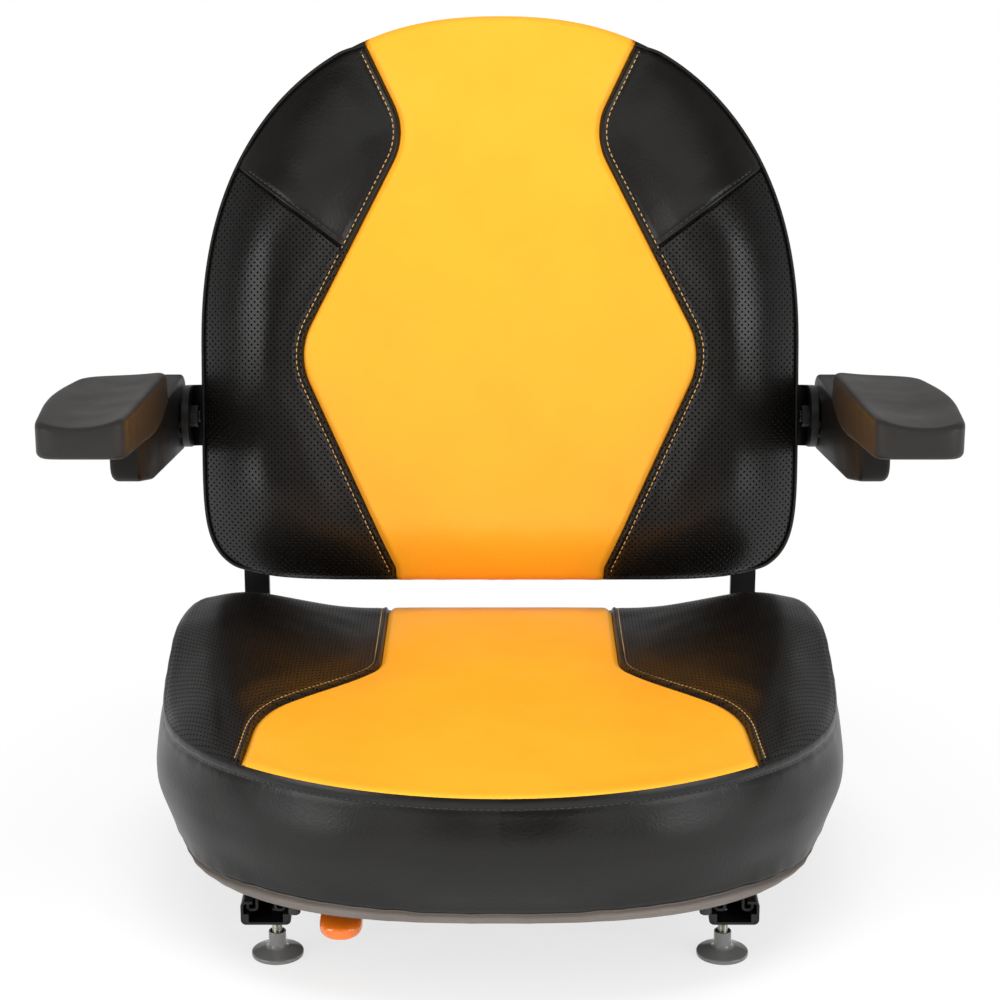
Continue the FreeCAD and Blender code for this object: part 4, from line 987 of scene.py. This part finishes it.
def build_studs(material):
    """The four studs: a domed head over a shank with a helical thread."""
    low, high = (Vector(corner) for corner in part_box("mounting_studs"))
    reach_x = high.x - STUD_HEAD_RADIUS
    reach_y = high.y - STUD_HEAD_RADIUS
    shank = high.z - STUD_HEAD_HEIGHT - low.z
    steps = int(shank / THREAD_PITCH * THREAD_ROWS)
    levels = [(low.z, 0.0, 0.0)]
    levels += [(low.z + shank * k / steps, STUD_RADIUS, THREAD_DEPTH) for k in range(steps + 1)]
    for drop, inset in quarter_round(5):
        levels.append((high.z - STUD_HEAD_HEIGHT * drop, STUD_HEAD_RADIUS * (1 - inset), 0.0))
    places = [(x, y) for x in (-reach_x, reach_x) for y in (-reach_y, reach_y)]
    studs = [[stud_ring(x, y, *level) for level in levels] for x, y in places]
    make_piece("threaded_studs", studs, material, "base", ["mounting_studs"])


def stud_ring(x, y, z, radius, thread):
    ring = []
    for c, s, share in circle(20):
        phase = (z / THREAD_PITCH - share) % 1.0
        r = radius - thread * abs(2 * phase - 1)
        ring.append((Vector((x + r * c, y + r * s, z)), (share, z)))
    return ring


# Latch grip

GRIP_ROWS = 32
GRIP_TIP_START = 0.60
GRIP_TIP_POWER = 2.3
GRIP_SQUARENESS = 2.8
GRIP_HALF_HEIGHT = 0.0070
GRIP_RISE = 0.0008
GRIP_DROOP = 0.0020


def build_grip(material):
    """The moulded grip: a rounded tongue that thickens and droops towards its tip."""
    low, high = (Vector(corner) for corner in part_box("latch_grip"))
    middle = (low + high) / 2
    rings = []
    for j in range(GRIP_ROWS + 1):
        t = math.sin(math.pi / 2 * j / GRIP_ROWS)
        y = high.y - (high.y - low.y) * t
        past = max(0.0, (t - GRIP_TIP_START) / (1 - GRIP_TIP_START))
        tip = max(0.0, 1 - past ** GRIP_TIP_POWER) ** (1 / GRIP_TIP_POWER)
        tail = smooth_step(-0.04, 0.10, t)
        wide = (high.x - middle.x) * max(tip, 0.02) * (0.86 + 0.14 * tail)
        tall = GRIP_HALF_HEIGHT * (0.35 + 0.65 * tail) * (0.35 + 0.65 * tip)
        z = middle.z + GRIP_RISE - GRIP_DROOP * smooth_step(0.35, 1.0, t)
        ring = []
        for c, s, share in circle(40):
            squared = (abs(c) ** GRIP_SQUARENESS + abs(s) ** GRIP_SQUARENESS) ** (-1 / GRIP_SQUARENESS)
            ring.append((Vector((middle.x + wide * c * squared, y, z + tall * s * squared)), (share, t)))
        rings.append(ring)
    make_piece("moulded_grip", [capped(rings)], material, "latch", ["latch_grip"])


# Materials

class Nodes:
    """A node tree under construction."""

    def __init__(self, tree):
        self.nodes = tree.nodes
        self.links = tree.links

    def join(self, node, values):
        """Set a node's inputs, with a link for each value that is a socket."""
        for key, value in values.items():
            if isinstance(value, bpy.types.NodeSocket):
                self.links.new(value, node.inputs[key])
            else:
                node.inputs[key].default_value = value
        return node

    def add(self, kind, values=None, **settings):
        node = self.nodes.new(kind)
        for key, value in settings.items():
            setattr(node, key, value)
        return self.join(node, values or {})

    def place(self):
        return self.add("ShaderNodeTexCoord").outputs["Object"]

    def math(self, operation, first, second):
        return self.add("ShaderNodeMath", {0: first, 1: second}, operation=operation).outputs[0]

    def vector(self, operation, *values):
        return self.add("ShaderNodeVectorMath", dict(enumerate(values)), operation=operation).outputs

    def spread(self, value, low, high, start=0.0, end=1.0):
        values = {"Value": value, "From Min": start, "From Max": end, "To Min": low, "To Max": high}
        return self.add("ShaderNodeMapRange", values).outputs["Result"]


class Paint(Nodes):
    """A material under construction: a Principled shader and the nodes that feed it."""

    def __init__(self, name, color, roughness, metallic=0.0, specular=0.5, coat=0.0, sheen=0.0):
        self.material = bpy.data.materials.new(name)
        self.material.use_nodes = True
        super().__init__(self.material.node_tree)
        self.shader = self.join(self.nodes["Principled BSDF"], {
            "Base Color": (*color, 1), "Roughness": roughness, "Metallic": metallic,
            "Specular IOR Level": specular, "Coat Weight": coat, "Sheen Weight": sheen})

    def pattern(self):
        return self.add("ShaderNodeUVMap", uv_map="pattern").outputs["UV"]

    def noise(self, where, size, detail=3.0, roughness=0.5):
        values = {"Vector": where, "Scale": 1 / size, "Detail": detail, "Roughness": roughness}
        return self.add("ShaderNodeTexNoise", values).outputs["Fac"]

    def cells(self, where, size):
        values = {"Vector": where, "Scale": 1 / size}
        return self.add("ShaderNodeTexVoronoi", values, feature="SMOOTH_F1").outputs["Distance"]

    def mix(self, share, first, second):
        """A colour between two others, each a socket or three numbers."""
        first, second = (c if isinstance(c, bpy.types.NodeSocket) else (*c, 1) for c in (first, second))
        return self.add("ShaderNodeMix", {0: share, 6: first, 7: second}, data_type="RGBA").outputs[2]

    def blotches(self, patches, color, worn, start=0.35, end=0.7):
        return self.mix(self.spread(patches, 0.0, 1.0, start, end), color, worn)

    def feed(self, socket, value):
        self.join(self.shader, {socket: value})

    def feed_roughness(self, patches, low, high):
        self.feed("Roughness", self.spread(patches, low, high, 0.3, 0.7))

    def bump(self, height, distance, strength):
        values = {"Height": height, "Distance": distance, "Strength": strength}
        self.feed("Normal", self.add("ShaderNodeBump", values).outputs["Normal"])


HOLE_PITCH = 0.0056
HOLE_RADIUS = 0.00080
HOLE_DEPTH = 6.0
# Near black painted into each perforation: painted shade inside the hole.
HOLE_PAINTED_SHADE = (0.002, 0.002, 0.002)


def holes_of(paint, where):
    """1 inside each hole of a staggered pattern of small holes, 0 between them."""
    lengths = []
    for shift in (0.0, 0.5):
        scaled = paint.vector("MULTIPLY", where, (1 / HOLE_PITCH, 1 / HOLE_PITCH, 0))[0]
        cell = paint.vector("FRACTION", paint.vector("ADD", scaled, (shift, shift, 0))[0])[0]
        lengths.append(paint.vector("LENGTH", paint.vector("SUBTRACT", cell, (0.5, 0.5, 0))[0])["Value"])
    share = HOLE_RADIUS / HOLE_PITCH
    return paint.spread(paint.math("MINIMUM", *lengths), 1.0, 0.0, 0.75 * share, 1.2 * share)


def vinyl(name, color, worn, roughness, specular, perforated=False):
    """Grained upholstery vinyl, with small holes where it is perforated; each hole is painted near black as
    painted shade and loses its gloss.
    """
    paint = Paint(name, color, roughness, specular=specular)
    where = paint.pattern()
    patches = paint.noise(where, 0.09, 4.0)
    tone = paint.blotches(patches, color, worn)
    height = paint.math("ADD", paint.cells(where, 0.0016), paint.noise(where, 0.0042, 3.0, 0.6))
    paint.feed_roughness(patches, roughness - 0.06, roughness + 0.07)
    if perforated:
        holes = holes_of(paint, where)
        # Painted shade: each hole is painted near black, and below it loses its specular gloss.
        tone = paint.mix(holes, tone, HOLE_PAINTED_SHADE)
        height = paint.math("SUBTRACT", height, paint.math("MULTIPLY", holes, HOLE_DEPTH))
        paint.feed("Specular IOR Level", paint.spread(holes, specular, 0.0))
    paint.feed("Base Color", tone)
    paint.bump(height, 0.00022, 0.55)
    return paint.material


def thread(name, color, dark):
    """Twisted sewing thread."""
    paint = Paint(name, color, 0.55, sheen=0.2)
    strands = paint.noise(paint.place(), 0.0007, 2.0)
    paint.feed("Base Color", paint.mix(strands, dark, color))
    paint.bump(strands, 0.0002, 0.6)
    return paint.material


def moulded(name, color, worn, roughness, texture, depth, specular=0.5, coat=0.0):
    """Moulded plastic or foam skin with a fine surface texture."""
    paint = Paint(name, color, roughness, specular=specular, coat=coat)
    where = paint.place()
    patches = paint.noise(where, 0.05, 4.0)
    paint.feed("Base Color", paint.blotches(patches, color, worn))
    paint.feed_roughness(patches, roughness - 0.05, roughness + 0.06)
    paint.bump(paint.noise(where, texture, 3.0, 0.65), depth, 0.6)
    return paint.material


def painted_steel(name, color, worn):
    """Powder-coated steel, a little rubbed."""
    paint = Paint(name, color, 0.38, specular=0.3)
    where = paint.place()
    patches = paint.noise(where, 0.035, 5.0, 0.6)
    paint.feed("Base Color", paint.blotches(patches, color, worn, 0.4, 0.75))
    paint.feed_roughness(patches, 0.30, 0.48)
    paint.bump(paint.noise(where, 0.0022, 2.0), 0.0002, 0.5)
    return paint.material


def plated_steel(name, color, dull):
    """Zinc-plated steel with cloudy patches."""
    paint = Paint(name, color, 0.3, metallic=1.0)
    where = paint.place()
    patches = paint.noise(where, 0.006, 4.0, 0.6)
    paint.feed("Base Color", paint.blotches(patches, color, dull))
    paint.feed_roughness(patches, 0.24, 0.42)
    paint.bump(paint.noise(where, 0.0009, 2.0), 0.0001, 0.4)
    return paint.material


def plywood(name, color, dark):
    """Plain board with long grain."""
    paint = Paint(name, color, 0.7)
    stretched = paint.add("ShaderNodeMapping", {"Vector": paint.place(), "Scale": (1.0, 0.08, 0.08)})
    grain = paint.noise(stretched.outputs["Vector"], 0.004, 5.0, 0.6)
    paint.feed("Base Color", paint.blotches(grain, dark, color, 0.3, 0.7))
    paint.bump(grain, 0.0003, 0.5)
    return paint.material


BLACK_VINYL = (0.0036, 0.0030, 0.0026)
BLACK_WORN = (0.0050, 0.0042, 0.0036)


def make_materials():
    """Every material by its name. Each recipe gives the function and its colours, then for moulded ones
    roughness, texture size and depth, specular and coat, and for vinyl roughness and specular."""
    recipes = {
        "black_steel": (painted_steel, (0.0065, 0.0062, 0.0060), (0.0100, 0.0096, 0.0092)),
        "zinc_steel": (plated_steel, (0.62, 0.60, 0.53), (0.46, 0.44, 0.38)),
        "grey_plastic": (moulded, (0.150, 0.150, 0.144), (0.13, 0.13, 0.125), 0.20, 0.004, 0.0001, 0.5, 0.4),
        "glide_plastic": (moulded, (0.008, 0.008, 0.008), (0.012, 0.012, 0.012), 0.40, 0.002, 0.0001, 0.3),
        "black_rubber": (moulded, (0.016, 0.016, 0.016), (0.024, 0.024, 0.024), 0.7, 0.001, 0.0002),
        "board_wood": (plywood, (0.45, 0.30, 0.17), (0.30, 0.19, 0.10)),
        "shell_plastic": (moulded, (0.015, 0.015, 0.015), (0.021, 0.021, 0.021), 0.5, 0.0012, 0.0003),
        "arm_plastic": (moulded, (0.005, 0.0044, 0.004), (0.0072, 0.0064, 0.0058), 0.46, 0.0012, 0.0003,
                        0.16),
        "pad_foam": (moulded, (0.0185, 0.0164, 0.0148), (0.0155, 0.0137, 0.0123), 0.46, 0.0009, 0.00018, 0.3),
        "orange_plastic": (moulded, (0.74, 0.155, 0.008), (0.66, 0.13, 0.006), 0.24, 0.006, 0.0001, 0.5, 0.5),
        "black_plain": (vinyl, BLACK_VINYL, BLACK_WORN, 0.37, 0.40),
        "black_holes": (vinyl, BLACK_VINYL, BLACK_WORN, 0.37, 0.40, True),
        "yellow_vinyl": (vinyl, (0.93, 0.405, 0.020), (0.90, 0.375, 0.016), 0.44, 0.4),
        # hem: black vinyl lightened to a warm grey, a painted reflection of the white floor
        "hem_tape": (vinyl, (0.150, 0.128, 0.112), (0.120, 0.103, 0.090), 0.5, 0.3),
        "tan_thread": (thread, (0.72, 0.42, 0.11), (0.50, 0.26, 0.05)),
        "black_thread": (thread, (0.03, 0.028, 0.027), (0.012, 0.011, 0.011)),
    }
    return {name: make(name, *values) for name, (make, *values) in recipes.items()}


def dress_nodes(materials):
    """Give every carried-over solid the material of its slot."""
    for subpart in frame["record"]["subparts"]:
        node = frame["nodes"][subpart["node"]]
        material = materials.get(subpart["material_slot"])
        if material:
            node.data.materials.clear()
            node.data.materials.append(material)


# Stage

FLOOR_HALF = 6.0
FLOOR_DROP = 0.0004
FLOOR_WHITES = ((0.925, 0.925, 0.925), (0.935, 0.935, 0.935))
FLOOR_WHITE_REACH = (0.25, 0.60)
FLOOR_WHITE_SHARES = (0.72, 1.0)
WORLD_FRONT = 0.05
WORLD_REAR = 0.50
WORLD_TURN = (-0.3, 0.5)
WHITE = (1, 1, 1, 1)
CAMERA_PLACE = (0.0, -1.886, 0.8785)
CAMERA_PITCH = math.radians(16.5)
CAMERA_FOCUS_PIXELS = 2485.0
PICTURE_PIXELS = 1000.0
SENSOR_WIDTH = 36.0


def build_floor():
    """A plain white floor: lit and shadowed under the object, plain white as seen further out."""
    data = bpy.data.meshes.new("floor")
    signs = ((-1, -1), (1, -1), (1, 1), (-1, 1))
    data.from_pydata([(FLOOR_HALF * x, FLOOR_HALF * y, -FLOOR_DROP) for x, y in signs], [], [(0, 1, 2, 3)])
    paint = Paint("floor_white", FLOOR_WHITES[0], 0.9, specular=0.1)
    paint.feed("Base Color", paint.mix(paint.noise(paint.place(), 0.4, 2.0), *FLOOR_WHITES))
    away = paint.vector("LENGTH", paint.place())["Value"]
    share = paint.spread(away, *FLOOR_WHITE_SHARES, *FLOOR_WHITE_REACH)
    path = paint.add("ShaderNodeLightPath").outputs
    seen = paint.math("MAXIMUM", path["Is Camera Ray"], path["Is Glossy Ray"])
    seen = paint.math("MAXIMUM", seen, path["Is Transmission Ray"])
    white = paint.add("ShaderNodeEmission", {"Strength": 1.0}).outputs["Emission"]
    mixed = paint.add("ShaderNodeMixShader", {0: paint.math("MULTIPLY", share, seen),
                                              1: paint.shader.outputs["BSDF"], 2: white})
    paint.join(paint.nodes["Material Output"], {"Surface": mixed.outputs["Shader"]})
    data.materials.append(paint.material)
    placed("floor", data)


def light_world():
    """White light from a lit backdrop behind, dim in front, and white where the camera sees it."""
    world = bpy.data.worlds.new("studio")
    bpy.context.scene.world = world
    world.use_nodes = True
    tree = Nodes(world.node_tree)
    toward = tree.add("ShaderNodeTexCoord").outputs["Generated"]
    depth = tree.add("ShaderNodeSeparateXYZ", {"Vector": toward}).outputs["Y"]
    level = tree.spread(depth, WORLD_FRONT, WORLD_REAR, *WORLD_TURN)
    fill = tree.join(tree.nodes["Background"], {"Color": WHITE, "Strength": level})
    white = tree.add("ShaderNodeBackground", {"Color": WHITE, "Strength": 1.0})
    path = tree.add("ShaderNodeLightPath").outputs
    seen = tree.math("MAXIMUM", path["Is Camera Ray"], path["Is Transmission Ray"])
    mixed = tree.add("ShaderNodeMixShader", {0: seen, 1: fill.outputs[0], 2: white.outputs[0]})
    tree.join(tree.nodes["World Output"], {"Surface": mixed.outputs["Shader"]})


def add_softbox(name, place, target, size, power, mirrored=True):
    data = bpy.data.lights.new(name, "AREA")
    data.shape = "RECTANGLE"
    data.size, data.size_y = size
    data.energy = power
    lamp = placed(name, data)
    lamp.location = place
    aim = Vector(target) - Vector(place)
    lamp.rotation_euler = aim.to_track_quat("-Z", "Y").to_euler()
    lamp.visible_glossy = mirrored


def build_lights():
    """Softboxes at both sides and above, and light from the floor, which doesn't show in gloss."""
    middle = (0, 0, 0.3)
    add_softbox("softbox_left", (-1.75, -1.3, 0.80), middle, (1.1, 1.2), 18)
    add_softbox("softbox_right", (1.75, -1.3, 0.80), middle, (1.1, 1.2), 18)
    add_softbox("softbox_high", (0, -1.4, 1.9), (0, 0.2, 0.5), (3.2, 0.9), 11)
    add_softbox("softbox_top", (0, -0.6, 3.4), middle, (2.4, 1.6), 80, mirrored=False)
    add_softbox("floor_bounce", (0, -0.95, 0.02), (0, 0.1, 0.3), (2.0, 0.9), 13, mirrored=False)


def build_camera():
    data = bpy.data.cameras.new("camera")
    data.sensor_width = SENSOR_WIDTH
    data.lens = CAMERA_FOCUS_PIXELS / PICTURE_PIXELS * SENSOR_WIDTH
    camera = placed("camera", data)
    camera.location = CAMERA_PLACE
    camera.rotation_euler = (math.pi / 2 - CAMERA_PITCH, 0, 0)
    bpy.context.scene.camera = camera


def dress_cushion(form, part, materials):
    """The cover, centre panel and seam stitches of a cushion."""
    form.prepare()
    covers = [materials[name] for name in COVER_MATERIALS]
    build_cover(form, part + "_cover", covers, part + "_cushion")
    build_center(form, part + "_center_cover", materials["yellow_vinyl"], part + "_center_panel")
    seam_stitches(form, part + "_seam_stitches", materials["tan_thread"])


def build_upholstery(materials):
    seat = SeatForm()
    dress_cushion(seat, "seat", materials)
    boxing_stitches(seat, "seat_band_stitches", materials["black_thread"])
    back = BackForm()
    dress_cushion(back, "back", materials)
    cross_stitches(back, "back_cross_stitches", materials["black_thread"])
    build_piping(back, "back_piping", materials["black_plain"])


bpy.context.scene.view_settings.view_transform = "Standard"
materials = make_materials()
dress_nodes(materials)
build_upholstery(materials)
for side_name in SIDES:
    build_pad(side_name, materials["pad_foam"])
    build_arm(side_name, materials["arm_plastic"])
build_studs(materials["zinc_steel"])
build_grip(materials["orange_plastic"])
build_floor()
light_world()
build_lights()
build_camera()
